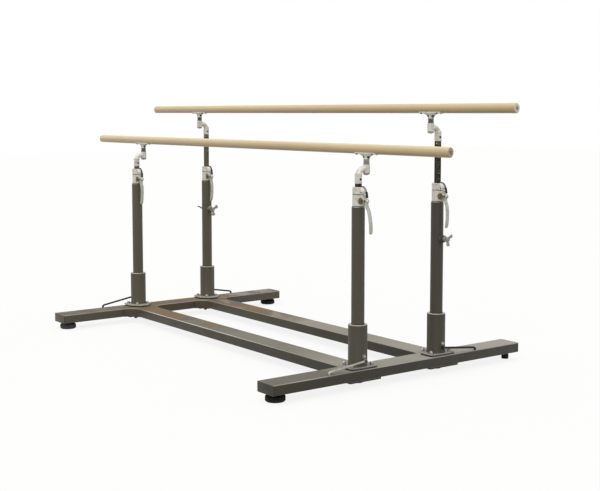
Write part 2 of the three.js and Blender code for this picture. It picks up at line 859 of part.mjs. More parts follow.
// A saddle from the swivel's collar at z = 0 to the rail: three ribs under a long flange.
function saddle() {
  const top = saddleHeight + saddleWing;
  const half = saddleLength / 2;
  const flangeBottom = saddleHeight - saddleFlange;
  const neck = saddleNeckWidth / 2;
  const arm = saddleArmReach;
  const outline = [
    [-neck, 0],
    [neck, 0],
    [neck, saddleNeckHeight],
    [arm, flangeBottom],
    [half, flangeBottom + saddleFlange / 2],
    [half, top],
    [-half, top],
    [-half, flangeBottom + saddleFlange / 2],
    [-arm, flangeBottom],
    [-neck, saddleNeckHeight],
  ];
  const windows = [-1, 1].map((side) => [
    [side * saddleRib, saddleNeckHeight + castEdge],
    [side * (arm - 2 * saddleRib), flangeBottom - castEdge],
    [side * saddleRib, flangeBottom - castEdge],
  ]);
  const ribs = acrossY(prismUp(outline, saddleWidth, windows), saddleWidth);
  const plan = prismUp(roundedBox(saddleLength, saddleWidth, saddleWingEnd), top + overrun);
  const cradle = oval(railWidth + 2 * seat, railHeight + 2 * seat, railSides);
  const cut = alongX(prismUp(cradle, saddleLength + 2 * overrun));
  const rest = [-half - overrun, 0, saddleHeight + railHeight / 2];
  return ribs.intersect(plan).subtract(cut.translate(rest));
}

function rail() {
  const bar = softPrismUp(oval(railWidth, railHeight, railSides), railLength, railEndRound);
  return alongX(bar).translate([-railLength / 2, 0, 0]);
}

// Assembly
const model = new THREE.Group();
const ends = [['left', -1], ['right', 1]];
const sides = [['near', -1], ['far', 1]];

for (const [end, along] of ends) {
  const x = along * columnSpacing / 2;
  const hasLeveller = along > 0;
  place(model, `cross_beam_${end}`, crossBeam(hasLeveller), paint, x, 0, floorGap + beamHeight / 2);
  for (const [side, across] of sides) {
    const capSpot = new THREE.Group();
    capSpot.position.set(x, across * (crossBeamLength / 2), floorGap + beamHeight / 2);
    if (across < 0) capSpot.rotation.z = Math.PI;
    model.add(capSpot);
    place(capSpot, `end_cap_${side}_${end}`, endCap(), paint);
    if (hasLeveller && across > 0) {
      place(model, 'levelling_foot', levellingFoot(), rubber, x, crossBeamLength / 2 - levellerInset);
    } else {
      const y = across * (crossBeamLength / 2 - footInset);
      place(model, `pad_foot_${side}_${end}`, padFoot(), rubber, x, y);
    }
  }
}

for (const [side, across] of sides) {
  place(model, `long_beam_${side}`, longBeam(), paint, 0, across * columnTrack / 2, floorGap);
}

// How far each clamp lever stands open, in degrees.
function leverTurn(isFar, isRight) {
  if (!isRight) return 0;
  return isFar ? farRightLeverTurn : nearRightLeverTurn;
}

// One upright with everything from its socket to its saddle.
function upright(side, across, end, along) {
  const name = (piece) => `${piece}_${side}_${end}`;
  const group = new THREE.Group();
  group.position.set(along * columnSpacing / 2, across * columnTrack / 2, 0);
  model.add(group);

  const leverHeight = along > 0 ? rightLeverHeight : leftLeverHeight;
  const foot = new THREE.Group();
  foot.position.z = beamTop + seat;
  if (along < 0) foot.rotation.z = Math.PI;
  group.add(foot);
  place(foot, name('socket'), socket(leverHeight), paint);
  const eyeX = leverBossReach + runningGap;
  const rodFinish = along > 0 && across < 0 ? zinc : steel;
  place(foot, name('lock_lever'), lockLever(across * along, leverHeight), rodFinish, eyeX, 0, leverHeight);

  const isFar = across > 0;
  place(group, name('column'), column(isFar), paint, 0, 0, columnBottom);
  if (isFar) place(group, name('hand_screw'), handScrew(), zinc, 0, 0, screwHeight);

  const head = new THREE.Group();
  head.position.z = headBase;
  group.add(head);
  place(head, name('clamp_head'), clampHead(), casting);
  place(head, name('clamp_bolt'), clampBolt(), brass, brassReach, 0, lugHeight);
  place(head, name('latch_strap'), latchStrap(), steel);
  const pin = new THREE.Group();
  pin.position.set(lugReach, 0, lugHeight);
  pin.rotation.y = -THREE.MathUtils.degToRad(leverTurn(isFar, along > 0));
  head.add(pin);
  place(pin, name('clamp_lever'), clampLever(), casting);

  const top = new THREE.Group();
  top.position.z = headBase + headHeight + (isFar ? farPoleShow : nearPoleShow);
  group.add(top);
  place(top, name('pole'), pole(), steel);
  const inward = -across;
  const neckY = inward * neckOffset;
  place(top, name('gooseneck'), gooseneck(inward), casting, 0, 0, seat);
  place(top, name('swivel_bolt'), swivelBolt(), zinc, 0, neckY, seat);
  place(top, name('saddle'), saddle(), casting, 0, neckY, seat + saddleBottom);
  return top.position.z + seat + railUnderside + railHeight / 2;
}

for (const [side, across] of sides) {
  const [railLevel] = ends.map(([end, along]) => upright(side, across, end, along));
  const railY = across * (columnTrack / 2 - neckOffset);
  place(model, `rail_${side}`, rail(), wood, 0, railY, railLevel);
}

export default model;
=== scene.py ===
import math

import bmesh
import bpy
from bpy.props import FloatProperty, FloatVectorProperty, IntProperty, PointerProperty
from mathutils import Matrix, Vector


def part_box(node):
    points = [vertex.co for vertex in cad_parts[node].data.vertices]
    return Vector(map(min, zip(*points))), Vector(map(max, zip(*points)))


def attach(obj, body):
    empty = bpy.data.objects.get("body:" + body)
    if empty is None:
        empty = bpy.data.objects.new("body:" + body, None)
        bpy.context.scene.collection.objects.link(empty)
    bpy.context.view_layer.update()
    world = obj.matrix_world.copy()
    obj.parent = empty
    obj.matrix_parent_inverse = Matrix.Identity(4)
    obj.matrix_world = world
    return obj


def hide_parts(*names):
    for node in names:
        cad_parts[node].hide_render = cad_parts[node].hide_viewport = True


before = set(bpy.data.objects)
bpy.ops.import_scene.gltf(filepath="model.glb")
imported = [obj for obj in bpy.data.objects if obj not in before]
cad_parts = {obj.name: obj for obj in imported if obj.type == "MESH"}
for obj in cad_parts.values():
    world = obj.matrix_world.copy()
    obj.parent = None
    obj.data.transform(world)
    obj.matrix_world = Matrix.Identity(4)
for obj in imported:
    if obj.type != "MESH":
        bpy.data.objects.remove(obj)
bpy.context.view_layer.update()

# Looks for adjustable parallel bars: wooden rails on telescopic uprights over a tube base.
# Lengths are metres in the CAD's own frame: +X along the rails, +Y to the far rail, +Z up.

bl_info = {
    "name": "Parallel Bars",
    "version": (1, 0, 0),
    "blender": (4, 5, 0),
    "location": "View3D > Sidebar > Parallel Bars",
    "description": "Builds the finished pieces of a pair of adjustable parallel bars",
    "category": "Add Mesh",
}

SIDES = (("near", -1), ("far", 1))
ENDS = (("left", -1), ("right", 1))
UPRIGHTS = [(f"{side}_{end}", side, across, along) for side, across in SIDES for end, along in ENDS]


# Places and sizes that several pieces share

# The play between parts that lie against each other.
SEAT = 0.0003
# How thick an end cap is.
CAP = 0.004
# How far the pad feet and the levelling foot stand in from a cross beam's end.
PAD_INSET, LEVELLER_INSET = 0.059, 0.036
# At each end: the base plates' underside, thickness and half width, how far their packing is drawn in, and
# the height of the lock levers' pins. The left plates are shorter and lie on thick packing.
PLATES = {"left": (0.006, 0.009, 0.079, 0.005, 0.053), "right": (0.0025, 0.0095, 0.087, 0.001, 0.041)}
# How high the hand screws and the feet of the clamp heads are above the floor.
HAND_SCREW_HEIGHT, HEAD_FOOT = 0.715, 0.9113
# Where a head has its lever's pin, its bolt and its set screw, from the middle of its foot.
LUG, BOLT, HEAD_SCREW = (0.063, 0, 0.029), (0.042, 0, 0.029), (0.04, 0, 0.071)
# The degrees by which a clamp lever stands out. The others hang straight down.
LEVER_TURNS = {"near_right": 14, "far_right": 4}
# How far a gooseneck's boss is from its pole, and how high the set screw is in its sleeve.
BOSS_OUT, NECK_SCREW_RISE = 0.052, 0.022
# Where a saddle has its four screws, from its middle.
SADDLE_SCREWS = [(x, y) for x in (-0.06, 0.06) for y in (-0.0125, 0.0125)]


# Colours and sizes

def linear(code):
    """The linear red, green, blue and alpha of an sRGB hex colour."""
    parts = [int(code[i:i + 2], 16) / 255 for i in (1, 3, 5)]
    return [p / 12.92 if p <= 0.04045 else ((p + 0.055) / 1.055) ** 2.4 for p in parts] + [1.0]


def length(name, description, default):
    """A setting for a length in metres."""
    return FloatProperty(name=name, description=description, default=default, unit="LENGTH", precision=4)


def colour(name, description, code):
    """A setting for a colour, given as sRGB hex."""
    return FloatVectorProperty(name=name, description=description, default=linear(code), size=4,
                               subtype="COLOR")


class BarsBase(bpy.types.PropertyGroup):
    spacing: length("Column spacing", "Distance between the uprights along the rails", 2.3)
    track: length("Column track", "Distance between the near and far uprights", 0.54)
    beam_length: length("Cross beam length", "Length of a cross beam over its end caps", 1.678)
    beam_width: length("Beam width", "Width of the base tubes", 0.134)
    beam_height: length("Beam height", "Height of the base tubes", 0.054)
    beam_corner: length("Beam corner", "Outside corner radius of the base tubes", 0.006)
    floor_gap: length("Floor gap", "Height of the tubes' undersides above the floor", 0.042)
    gusset: length("Gusset radius", "Radius of the flared inside corners", 0.078)
    foot_diameter: length("Foot diameter", "Diameter of the rubber pad feet", 0.1)


class BarsUpright(bpy.types.PropertyGroup):
    socket: length("Socket diameter", "Outside diameter of the sockets", 0.098)
    socket_top: length("Socket top", "Height of the sockets' tops above the long beams", 0.221)
    column: length("Column diameter", "Outside diameter of the columns", 0.067)
    pole: length("Pole diameter", "Diameter of the sliding poles", 0.035)
    pitch: length("Detent pitch", "Distance between the detent notches", 0.05)
    notches: IntProperty(name="Detent count", description="Number of detent notches", default=10, min=1)
    nut: length("Nut size", "Distance across the corners of the plate nuts", 0.021)


class BarsRail(bpy.types.PropertyGroup):
    width: length("Rail width", "Width of the oval rail", 0.04)
    height: length("Rail height", "Height of the oval rail", 0.05)
    end_round: length("End rounding", "Rounding radius at the rail's ends", 0.005)


class BarsColours(bpy.types.PropertyGroup):
    paint: colour("Frame paint", "Stove enamel of the tubes", "#524d40")
    plate: colour("Plate primer", "Primer of the base plates", "#a39f95")
    casting: colour("Casting enamel", "Enamel of the cast heads, goosenecks and saddles", "#e6e2d7")
    lever: colour("Lever enamel", "Enamel of the clamp levers", "#c6c7b9")
    pole: colour("Pole steel", "Blackened steel of the poles", "#2e2b23")
    bare: colour("Bare steel", "Machined rims, nuts, pins and the near right lock lever", "#b4b2aa")
    brass: colour("Brass", "Clamp bolts", "#756a42")
    zinc: colour("Zinc plate", "Hand screws, swivel bolts and the right heads' straps", "#98968e")
    rubber: colour("Rubber", "Feet", "#0f0e0d")
    wood: colour("Rail wood", "Lacquered beech of the rails", "#dcc69c")


def settings():
    """The sizes and colours that the panel shows."""
    return bpy.context.scene.parallel_bars


# Shapes as lists of corners and faces

def turned(profile, sides):
    """A profile of (radius, height) turned about Z. It starts and ends on the axis, or closes on itself."""
    corners, rings, faces = [], [], []
    for radius, height in profile:
        if radius < 1e-9:
            rings.append([len(corners)])
            corners.append((0.0, 0.0, height))
            continue
        rings.append(list(range(len(corners), len(corners) + sides)))
        for i in range(sides):
            angle = 2 * math.pi * i / sides
            corners.append((radius * math.cos(angle), radius * math.sin(angle), height))
    pairs = list(zip(rings, rings[1:]))
    if profile[0][0] > 1e-9:
        pairs.append((rings[-1], rings[0]))
    for low, high in pairs:
        for i in range(sides):
            j = (i + 1) % sides
            loop = [low[i % len(low)], low[j % len(low)], high[j % len(high)], high[i % len(high)]]
            loop = list(dict.fromkeys(loop))
            if len(loop) > 2:
                faces.append(loop)
    return corners, faces


def rod(radius, low, high, sides=32, edge=0.0):
    """A solid bar about Z between two heights, with the edges of its ends rounded by that much."""
    profile = [(0, low), (radius, low), (radius, high), (0, high)]
    return turned(eased(profile, edge) if edge else profile, sides)


def ring(inner, outer, low, high, sides):
    """A round bar about Z with a hole through it."""
    return turned([(inner, low), (outer, low), (outer, high), (inner, high)], sides)


def prism(outline, low, high):
    """An outline in X and Y raised from one height to another."""
    count = len(outline)
    corners = [(x, y, low) for x, y in outline] + [(x, y, high) for x, y in outline]
    faces = [list(reversed(range(count))), list(range(count, 2 * count))]
    faces += [[i, (i + 1) % count, count + (i + 1) % count, count + i] for i in range(count)]
    return corners, faces


def swept(points, section, scales=None, side=(1, 0, 0)):
    """A closed section carried along a line of points, its first axis toward that side, with flat ends."""
    line = [Vector(point) for point in points]
    scales = scales or [1.0] * len(line)
    courses = [(line[min(i + 1, len(line) - 1)] - line[max(i - 1, 0)]).normalized() for i in range(len(line))]
    corners, faces, count, side = [], [], len(section), Vector(side)
    for place, course, scale in zip(line, courses, scales):
        side = (side - course * side.dot(course)).normalized()
        over = course.cross(side)
        corners += [tuple(place + (side * x + over * y) * scale) for x, y in section]
    for low in range(0, (len(line) - 1) * count, count):
        high = low + count
        faces += [[low + i, low + (i + 1) % count, high + (i + 1) % count, high + i] for i in range(count)]
    faces.append(list(reversed(range(count))))
    faces.append([(len(line) - 1) * count + i for i in range(count)])
    return corners, faces


def moved(shape, matrix):
    """A shape turned and moved by a matrix."""
    corners, faces = shape
    return [tuple(matrix @ Vector(corner)) for corner in corners], faces


def shifted(shape, x=0.0, y=0.0, z=0.0):
    """A shape moved along the axes."""
    return moved(shape, Matrix.Translation((x, y, z)))


# These turn a shape's own Z toward +X and toward the front, which is -Y.
TO_X = Matrix(((0, 0, 1, 0), (1, 0, 0, 0), (0, 1, 0, 0), (0, 0, 0, 1)))
TO_FRONT = Matrix(((1, 0, 0, 0), (0, 0, -1, 0), (0, 1, 0, 0), (0, 0, 0, 1)))


def circle(radius, sides):
    """The corners of a round outline."""
    return [(radius * math.cos(2 * math.pi * i / sides), radius * math.sin(2 * math.pi * i / sides))
            for i in range(sides)]


def arc(x, y, radius, start, end, steps):
    """Points at that radius about a centre, from one angle to another."""
    return [(x + radius * math.cos(start + (end - start) * i / steps),
             y + radius * math.sin(start + (end - start) * i / steps)) for i in range(steps + 1)]


def rounded_box(width, height, corner, steps=6):
    """The outline of a box with round corners."""
    x, y, quarter = width / 2 - corner, height / 2 - corner, math.pi / 2
    return (arc(x, y, corner, 0, quarter, steps) + arc(-x, y, corner, quarter, 2 * quarter, steps)
            + arc(-x, -y, corner, 2 * quarter, 3 * quarter, steps)
            + arc(x, -y, corner, 3 * quarter, 4 * quarter, steps))


def bent(start, corner, end, steps):
    """Points of a curve that sets out toward a corner and comes from it into its end."""
    shares = [i / steps for i in range(steps + 1)]
    return [start * (1 - t) ** 2 + corner * 2 * t * (1 - t) + end * t ** 2 for t in shares]


def eased(points, radius, steps=4, closed=False):
    """Points with each corner rounded by about that radius. An open line keeps its two ends."""
    count, result = len(points), []
    for i, point in enumerate(points):
        if not closed and i in (0, count - 1):
            result.append(point)
            continue
        here = Vector(point)
        before, after = Vector(points[i - 1]) - here, Vector(points[(i + 1) % count]) - here
        reach = min(radius, before.length * 0.45, after.length * 0.45)
        start, end = here + before.normalized() * reach, here + after.normalized() * reach
        result += [tuple(spot) for spot in bent(start, here, end, steps)]
    return result


def smooth_line(points, steps):
    """A smooth line through points, as a Catmull-Rom curve."""
    ends = [Vector(p) for p in points]
    ends = [ends[0] * 2 - ends[1]] + ends + [ends[-1] * 2 - ends[-2]]
    result = []
    for i in range(1, len(ends) - 2):
        a, b, c, d = ends[i - 1:i + 3]
        for k in range(steps):
            t = k / steps
            result.append((b * 2 + (c - a) * t + (a * 2 - b * 5 + c * 4 - d) * t ** 2
                           + (b * 3 - a - c * 3 + d) * t ** 3) / 2)
    return result + [ends[-2]]


# Objects

def shown(name, data):
    """An object of that data in the scene."""
    made = bpy.data.objects.new(name, data)
    bpy.context.scene.collection.objects.link(made)
    return made


def blank(name, shapes):
    """An object of closed shapes, with its faces outward."""
    sheet = bmesh.new()
    for corners, faces in shapes:
        made = [sheet.verts.new(corner) for corner in corners]
        for face in faces:
            sheet.faces.new([made[i] for i in face])
    bmesh.ops.recalc_face_normals(sheet, faces=sheet.faces)
    mesh = bpy.data.meshes.new(name)
    sheet.to_mesh(mesh)
    sheet.free()
    return shown(name, mesh)


def settled(piece):
    """The piece with its modifiers turned into plain mesh."""
    evaluated = piece.evaluated_get(bpy.context.evaluated_depsgraph_get())
    mesh = bpy.data.meshes.new_from_object(evaluated)
    piece.modifiers.clear()
    piece.data = mesh
    return piece


def worked(piece, tools, operation):
    """The piece after each tool shape is joined to it, cut from it or kept in common with it."""
    for tool in tools:
        cutter = blank("tool", [tool])
        step = piece.modifiers.new("Work", "BOOLEAN")
        step.operation, step.solver, step.object = operation, "EXACT", cutter
        settled(piece)
        bpy.data.objects.remove(cutter)
    return piece


def fused(name, shapes):
    """An object of shapes that are joined into one skin."""
    return worked(blank(name, shapes[:1]), shapes[1:], "UNION")


def cast(piece, voxel, passes, cuts=()):
    """Runs the piece's shapes together as a casting with soft edges, then machines its cuts."""
    pour = piece.modifiers.new("Pour", "REMESH")
    pour.mode, pour.voxel_size = "VOXEL", voxel
    fettle = piece.modifiers.new("Fettle", "SMOOTH")
    fettle.factor, fettle.iterations = 0.5, passes
    settled(piece)
    return worked(piece, cuts, "DIFFERENCE")


def bevelled(piece, width, segments, angle=50):
    """The piece with its edges rounded where its faces meet at more than that angle."""
    edge = piece.modifiers.new("Edge", "BEVEL")
    edge.width, edge.segments = width, segments
    edge.limit_method, edge.angle_limit = "ANGLE", math.radians(angle)
    return settled(piece)


def copied(pattern, name, matrix):
    """A copy of a pattern piece with its place taken into its mesh."""
    mesh = pattern.data.copy()
    mesh.transform(matrix)
    return shown(name, mesh)


def discard(*pieces):
    """Takes pattern pieces out of the scene."""
    for piece in pieces:
        bpy.data.objects.remove(piece)


def on_column(across, along, height):
    """The place at that height on an upright's axis."""
    base = settings().base
    return Matrix.Translation((along * base.spacing / 2, across * base.track / 2, height))


def foot_place(across, along):
    """Where a socket's own frame stands: its lever side faces away from the middle."""
    base = settings().base
    top = on_column(across, along, base.floor_gap + base.beam_height + SEAT)
    return top @ Matrix.Rotation(0 if along > 0 else math.pi, 4, "Z")


# Node trees

def add(tree, kind, inputs=None, **options):
    """Adds a node with its settings. An input is a value, an output, or a node whose live output is taken."""
    made = tree.nodes.new(kind)
    for name, value in options.items():
        setattr(made, name, value)
    for socket, value in (inputs or {}).items():
        if isinstance(value, bpy.types.Node):
            value = next(output for output in value.outputs if output.enabled)
        if isinstance(value, bpy.types.NodeSocket):
            tree.links.new(value, made.inputs[socket])
        else:
            made.inputs[socket].default_value = value
    return made


def emptied(block):
    """The node tree of a material or a world, without its nodes."""
    block.use_nodes = True
    block.node_tree.nodes.clear()
    return block.node_tree


def started(name):
    """A new material with its empty tree and its object coordinates."""
    material = bpy.data.materials.new(name)
    tree = emptied(material)
    return material, tree, add(tree, "ShaderNodeTexCoord").outputs["Object"]


def facing(tree):
    """How far a surface faces along x, y and z."""
    normal = add(tree, "ShaderNodeNewGeometry").outputs["Normal"]
    return add(tree, "ShaderNodeSeparateXYZ", {0: normal}).outputs


def shade(code, factor):
    """A colour made lighter or darker by that factor."""
    return [min(1.0, part * factor) for part in code[:3]] + [1.0]


def grain(tree, place, size, detail=3.0, stretch=(1, 1, 1), low=0.35, high=0.65, least=0.0, most=1.0):
    """Cloudy noise with lumps of about that size in metres, as a share from least to most."""
    spread = add(tree, "ShaderNodeMapping", {"Vector": place, "Scale": [s / size for s in stretch]})
    noise = add(tree, "ShaderNodeTexNoise", {"Vector": spread, "Scale": 1.0, "Detail": detail})
    return add(tree, "ShaderNodeMapRange", {0: noise, 1: low, 2: high, 3: least, 4: most})


def coated(tree, base, *coats):
    """A base colour under coats. A coat is a colour and the shares that together say how much of it shows.

    A share is a number, an output, or an output with the two values between which it rises and, where they
    aren't 0 and 1, the least and the most of it.
    """
    for code, *shares in coats:
        whole = None
        for share in shares:
            if isinstance(share, tuple):
                share = add(tree, "ShaderNodeMapRange", dict(enumerate(share)))
            if whole is not None:
                share = add(tree, "ShaderNodeMath", {0: whole, 1: share}, operation="MULTIPLY")
            whole = share
        base = add(tree, "ShaderNodeMix", {0: whole, 6: base, 7: code}, data_type="RGBA")
    return base


def surfaced(material, tree, body, roughness, relief, strength, depth, more=()):
    """Ends a material in its shader, with a relief of that strength and of that depth in metres."""
    bump = add(tree, "ShaderNodeBump", {"Height": relief, "Strength": strength, "Distance": depth})
    shader = add(tree, "ShaderNodeBsdfPrincipled", {
        "Base Color": body, "Roughness": roughness, "Normal": bump, **dict(more)})
    add(tree, "ShaderNodeOutputMaterial", {0: shader})
    return material


# Finishes

def stove_enamel():
    """Stoved enamel on welded tube: satin and uneven, dusty on top with painted sheen, painted brown
    reflections at the left, painted highlights on the edges, and painted shade on the sides, toward the right
    and below.
    """
    material, tree, place = started("stove_enamelled_tube")
    paint = settings().colours.paint
    (x, y, z), (_, _, up) = add(tree, "ShaderNodeSeparateXYZ", {0: place}).outputs, facing(tree)
    aside = add(tree, "ShaderNodeMath", {0: y}, operation="ABSOLUTE")
    # Facing up, on the beams, which end at 0.1 m, toward the right, toward the left, and inside the frame.
    upward, beams, right, left, inner = [
        add(tree, "ShaderNodeMapRange", dict(enumerate(share))) for share in (
            (up, 0.75, 0.98), (z, 0.1, 0.098), (x, -1.1, 1.2), (x, 0.0, -0.4), (aside, 0.48, 0.36, 0.3))]
    sideways, rim = (up, 0.5, 0.2), ((up, 0.15, 0.4), (upward, 0.9, 0.2))
    underside, corner = (z, 0.0417, 0.0412), (x, -0.75, -1.08)
    near, arm, away = (y, 0.1, -0.2, 0.0, 0.9), (y, -0.3, -0.42, 0.0, 0.8), (y, 0.0, 0.2, 0.0, 0.6)
    tail = ((x, 0.6, 1.0, 0.0, 0.7), (y, -0.5, -0.3, -0.1, 1.0))
    front_edge = ((y, -0.31, -0.325), (x, 0.5, -0.1), (x, -0.98, -0.8))
    body = coated(
        tree, shade(paint, 1.1),
        (shade(paint, 1.2), grain(tree, place, 0.22)),
        # Darker toward the right, a little less at the near right: painted shade.
        (shade(paint, 0.66), right),
        (shade(paint, 0.88), right, near),
        # Darker sides of the beams at the right and in the flared left corners: painted shade.
        (shade(paint, 0.45), right, beams, sideways, 0.9),
        (linear("#4a3f33"), sideways, beams, corner, inner, 0.85),
        # Lighter tops: dust with painted sheen. The lighter far and right-hand tops and the darker near arm
        # are painted sheen and painted shade.
        (linear("#7e7a6e"), upward, beams, grain(tree, place, 0.25, least=0.75)),
        (linear("#a39c90"), upward, beams, away),
        (linear("#67635a"), upward, beams, right, arm),
        (linear("#a5a195"), upward, beams, *tail),
        (linear("#625d5d"), upward, beams, left, grain(tree, place, 0.12, 2.0, low=0.42, high=0.55)),
        # Brown on the tops at the left: a painted reflection.
        (linear("#79603f"), upward, beams, left, inner,
         grain(tree, place, 0.16, 2.0, low=0.42, high=0.54, least=0.25, most=0.9)),
        (linear("#b0aca2"), upward, grain(tree, place, 0.012, low=0.5, high=0.8, most=0.25)),
        # Pale edges, and a bright line along the near beam's front edge: painted highlights.
        (linear("#b9b5ab"), *rim, beams, grain(tree, place, 0.35, 1.0, low=0.2, high=0.8, least=0.3)),
        (linear("#f4f1ea"), *rim, beams, *front_edge,
         grain(tree, place, 0.2, 1.0, low=0.2, high=0.6, least=0.6)),
        # Near black below the tubes' undersides: painted shade under the frame.
        (linear("#1c1a18"), underside))
    # Dust takes the shine off the tops of the beams.
    dusty = add(tree, "ShaderNodeMath", {0: upward, 1: beams}, operation="MULTIPLY")
    rough = add(tree, "ShaderNodeMix", {
        0: dusty, 2: grain(tree, place, 0.05, least=0.42, most=0.55), 3: 0.85})
    # Orange peel is about 2 mm on such paint and is drawn at 5 mm to show.
    peel = grain(tree, place, 0.005, 1.0)
    return surfaced(material, tree, body, rough, peel, 0.12, 0.0004, {"Specular IOR Level": 0.35})


def plate_primer():
    """Grey primer on the base plates with pale dust specks, painted shade at the right and on the right
    plates' sides, and painted highlights on the edges.
    """
    material, tree, place = started("primed_steel_plate")
    plate = settings().colours.plate
    (x, _, _), (_, _, up) = add(tree, "ShaderNodeSeparateXYZ", {0: place}).outputs, facing(tree)
    right, side, rim = (x, 0.5, 1.1, 0.0, 0.8), (up, 0.25, 0.05), ((up, 0.2, 0.45), (up, 0.98, 0.85))
    body = coated(
        tree, shade(plate, 0.85),
        (shade(plate, 1.1), grain(tree, place, 0.03)),
        # Darker at the right and on the right plates' sides: painted shade.
        (shade(plate, 0.33), right),
        (linear("#c4c1b8"), grain(tree, place, 0.011, 4.0, low=0.5, high=0.72, most=0.5)),
        (linear("#3b3934"), side, right),
        # Pale edges: painted highlights.
        (linear("#d2cfc6"), *rim, 0.8))
    rough, dents = grain(tree, place, 0.02, least=0.4, most=0.6), grain(tree, place, 0.006)
    return surfaced(material, tree, body, rough, dents, 0.2, 0.0005)


def sprayed(name, coat, grime, under, shoulder_highlight):
    """Enamel sprayed over a sand casting: softly lumpy, grey in spots, with painted shade below and a painted
    highlight on shoulders turned up and out.
    """
    material, tree, place = started(name)
    out, _, up = facing(tree)
    body = coated(
        tree, shade(coat, 0.82),
        (shade(coat, 1.05), grain(tree, place, 0.022)),
        (linear(grime), grain(tree, place, 0.009, 5.0, low=0.5, high=0.7, most=0.65)),
        # Darker on faces turned down: painted shade.
        (linear("#6f6a5c"), (up, -0.3, -0.9, 0.0, under)),
        # Near white on shoulders turned up and out: a painted highlight.
        (linear("#fbf7ef"), (out, 0.15, 0.5), (up, 0.1, 0.35), shoulder_highlight))
    # Sand grain is under 1 mm and is drawn at 2.5 mm to show.
    return surfaced(material, tree, body, 0.4, grain(tree, place, 0.0025, 2.0), 0.35, 0.0005)


def cast_enamel():
    """Warm white enamel of the heads, goosenecks and saddles."""
    return sprayed("enamelled_casting", settings().colours.casting, "#9a8f80", 0.55, 0.85)


def lever_enamel():
    """Greenish white enamel of the clamp levers."""
    return sprayed("enamelled_lever", settings().colours.lever, "#9c9d8f", 0.0, 0.0)


def drawn_steel():
    """Drawn bar, blackened and oiled: dark, with fine lines down its length, a painted highlight streak, and
    painted light on the left poles.
    """
    material, tree, place = started("blackened_drawn_steel")
    steel = settings().colours.pole
    x, _, _ = add(tree, "ShaderNodeSeparateXYZ", {0: place}).outputs
    lines = grain(tree, place, 0.0015, 4.0, (1, 1, 0.01))
    highlight_streak, scored = [add(tree, "ShaderNodeAttribute", attribute_name=name).outputs["Fac"]
                      for name in ("highlight_streak", "scored")]
    # The clamp's teeth leave marks 3 mm apart, drawn at 8 mm to show.
    bites = grain(tree, place, 0.008, 2.0, (0.3, 0.3, 1), low=0.53, high=0.62)
    body = coated(
        tree, shade(steel, 0.28),
        (shade(steel, 0.65), lines),
        # Lighter on the left poles: painted light.
        (shade(steel, 4.6), (x, 0.5, -0.5), 0.85),
        # A bright streak down each pole: a painted highlight.
        (linear("#625d44"), highlight_streak, grain(tree, place, 0.03, 3.0, (1, 1, 0.4), least=0.2)),
        (linear("#847d60"), scored, bites, 0.75))
    rough = grain(tree, place, 0.04, least=0.42, most=0.55)
    return surfaced(material, tree, body, rough, lines, 0.08, 0.0002, {"Specular IOR Level": 0.2})


def black_rod():
    """Bent rod with its black mill scale left on: nearly black, satin, scuffed grey in spots."""
    material, tree, place = started("black_scaled_rod")
    scuffs = grain(tree, place, 0.008, 4.0, low=0.5, high=0.8)
    body = coated(tree, linear("#24231f"), (linear("#4a4841"), scuffs))
    return surfaced(material, tree, body, 0.45, grain(tree, place, 0.002), 0.15, 0.0003, {"Metallic": 0.3})


def black_oxide():
    """Black oxide on small screws, pins, links and packing, and on black pieces of painted shade: matt black
    with an oily grey bloom.
    """
    material, tree, place = started("black_oxide_steel")
    bloom = grain(tree, place, 0.004, 3.0, low=0.5, high=0.8)
    body = coated(tree, linear("#0e0d0c"), (linear("#302e2a"), bloom))
    return surfaced(material, tree, body, 0.6, grain(tree, place, 0.001), 0.1, 0.0002,
                    {"Specular IOR Level": 0.3})


def machined_steel():
    """Turned steel left bare: bright, with fine lines round it and a grey film in places."""
    material, tree, place = started("machined_steel")
    bare = settings().colours.bare
    # Turning lines are about 0.2 mm apart and are drawn at 1 mm to show.
    lines = grain(tree, place, 0.001, 2.0, (0.05, 0.05, 1))
    film = grain(tree, place, 0.015, 4.0, low=0.4, high=0.7, most=0.6)
    body = coated(tree, shade(bare, 0.85), (shade(bare, 1.1), lines), (linear("#7c7a72"), film))
    rough = add(tree, "ShaderNodeMapRange", {0: lines, 3: 0.28, 4: 0.42})
    return surfaced(material, tree, body, rough, lines, 0.1, 0.0002, {"Metallic": 0.85})


def plated(name, zinc):
    """Zinc plate: grey, faintly spangled, duller in patches."""
    material, tree, place = started(name)
    # Spangle is under 1 mm on plated parts and is drawn at 6 mm to show.
    cells = add(tree, "ShaderNodeTexVoronoi", {"Vector": place, "Scale": 1 / 0.006})
    body = coated(tree, shade(zinc, 0.85), (shade(zinc, 1.1), cells.outputs["Color"]),
                  (shade(zinc, 0.5), grain(tree, place, 0.02, most=0.5)))
    rough, skin = grain(tree, place, 0.01, least=0.32, most=0.5), grain(tree, place, 0.002)
    return surfaced(material, tree, body, rough, skin, 0.1, 0.0002, {"Metallic": 0.8})


def zinc_plate():
    """New zinc plate of the hand screws and swivel nuts."""
    return plated("zinc_plated_steel", settings().colours.zinc)


def dark_zinc():
    """Darker zinc plate on the swivel collars and a strap, with the same spangle."""
    return plated("dark_zinc_steel", shade(settings().colours.zinc, 0.5))


def turned_brass():
    """Turned brass gone brown: dull gold with darker stains."""
    material, tree, place = started("tarnished_brass")
    brass = settings().colours.brass
    clear = grain(tree, place, 0.007, 3.0, low=0.42, high=0.58)
    body = coated(tree, shade(brass, 0.35), (shade(brass, 1.25), clear))
    rough, pits = grain(tree, place, 0.004, least=0.3, most=0.5), grain(tree, place, 0.001)
    return surfaced(material, tree, body, rough, pits, 0.15, 0.0002, {"Metallic": 0.85})


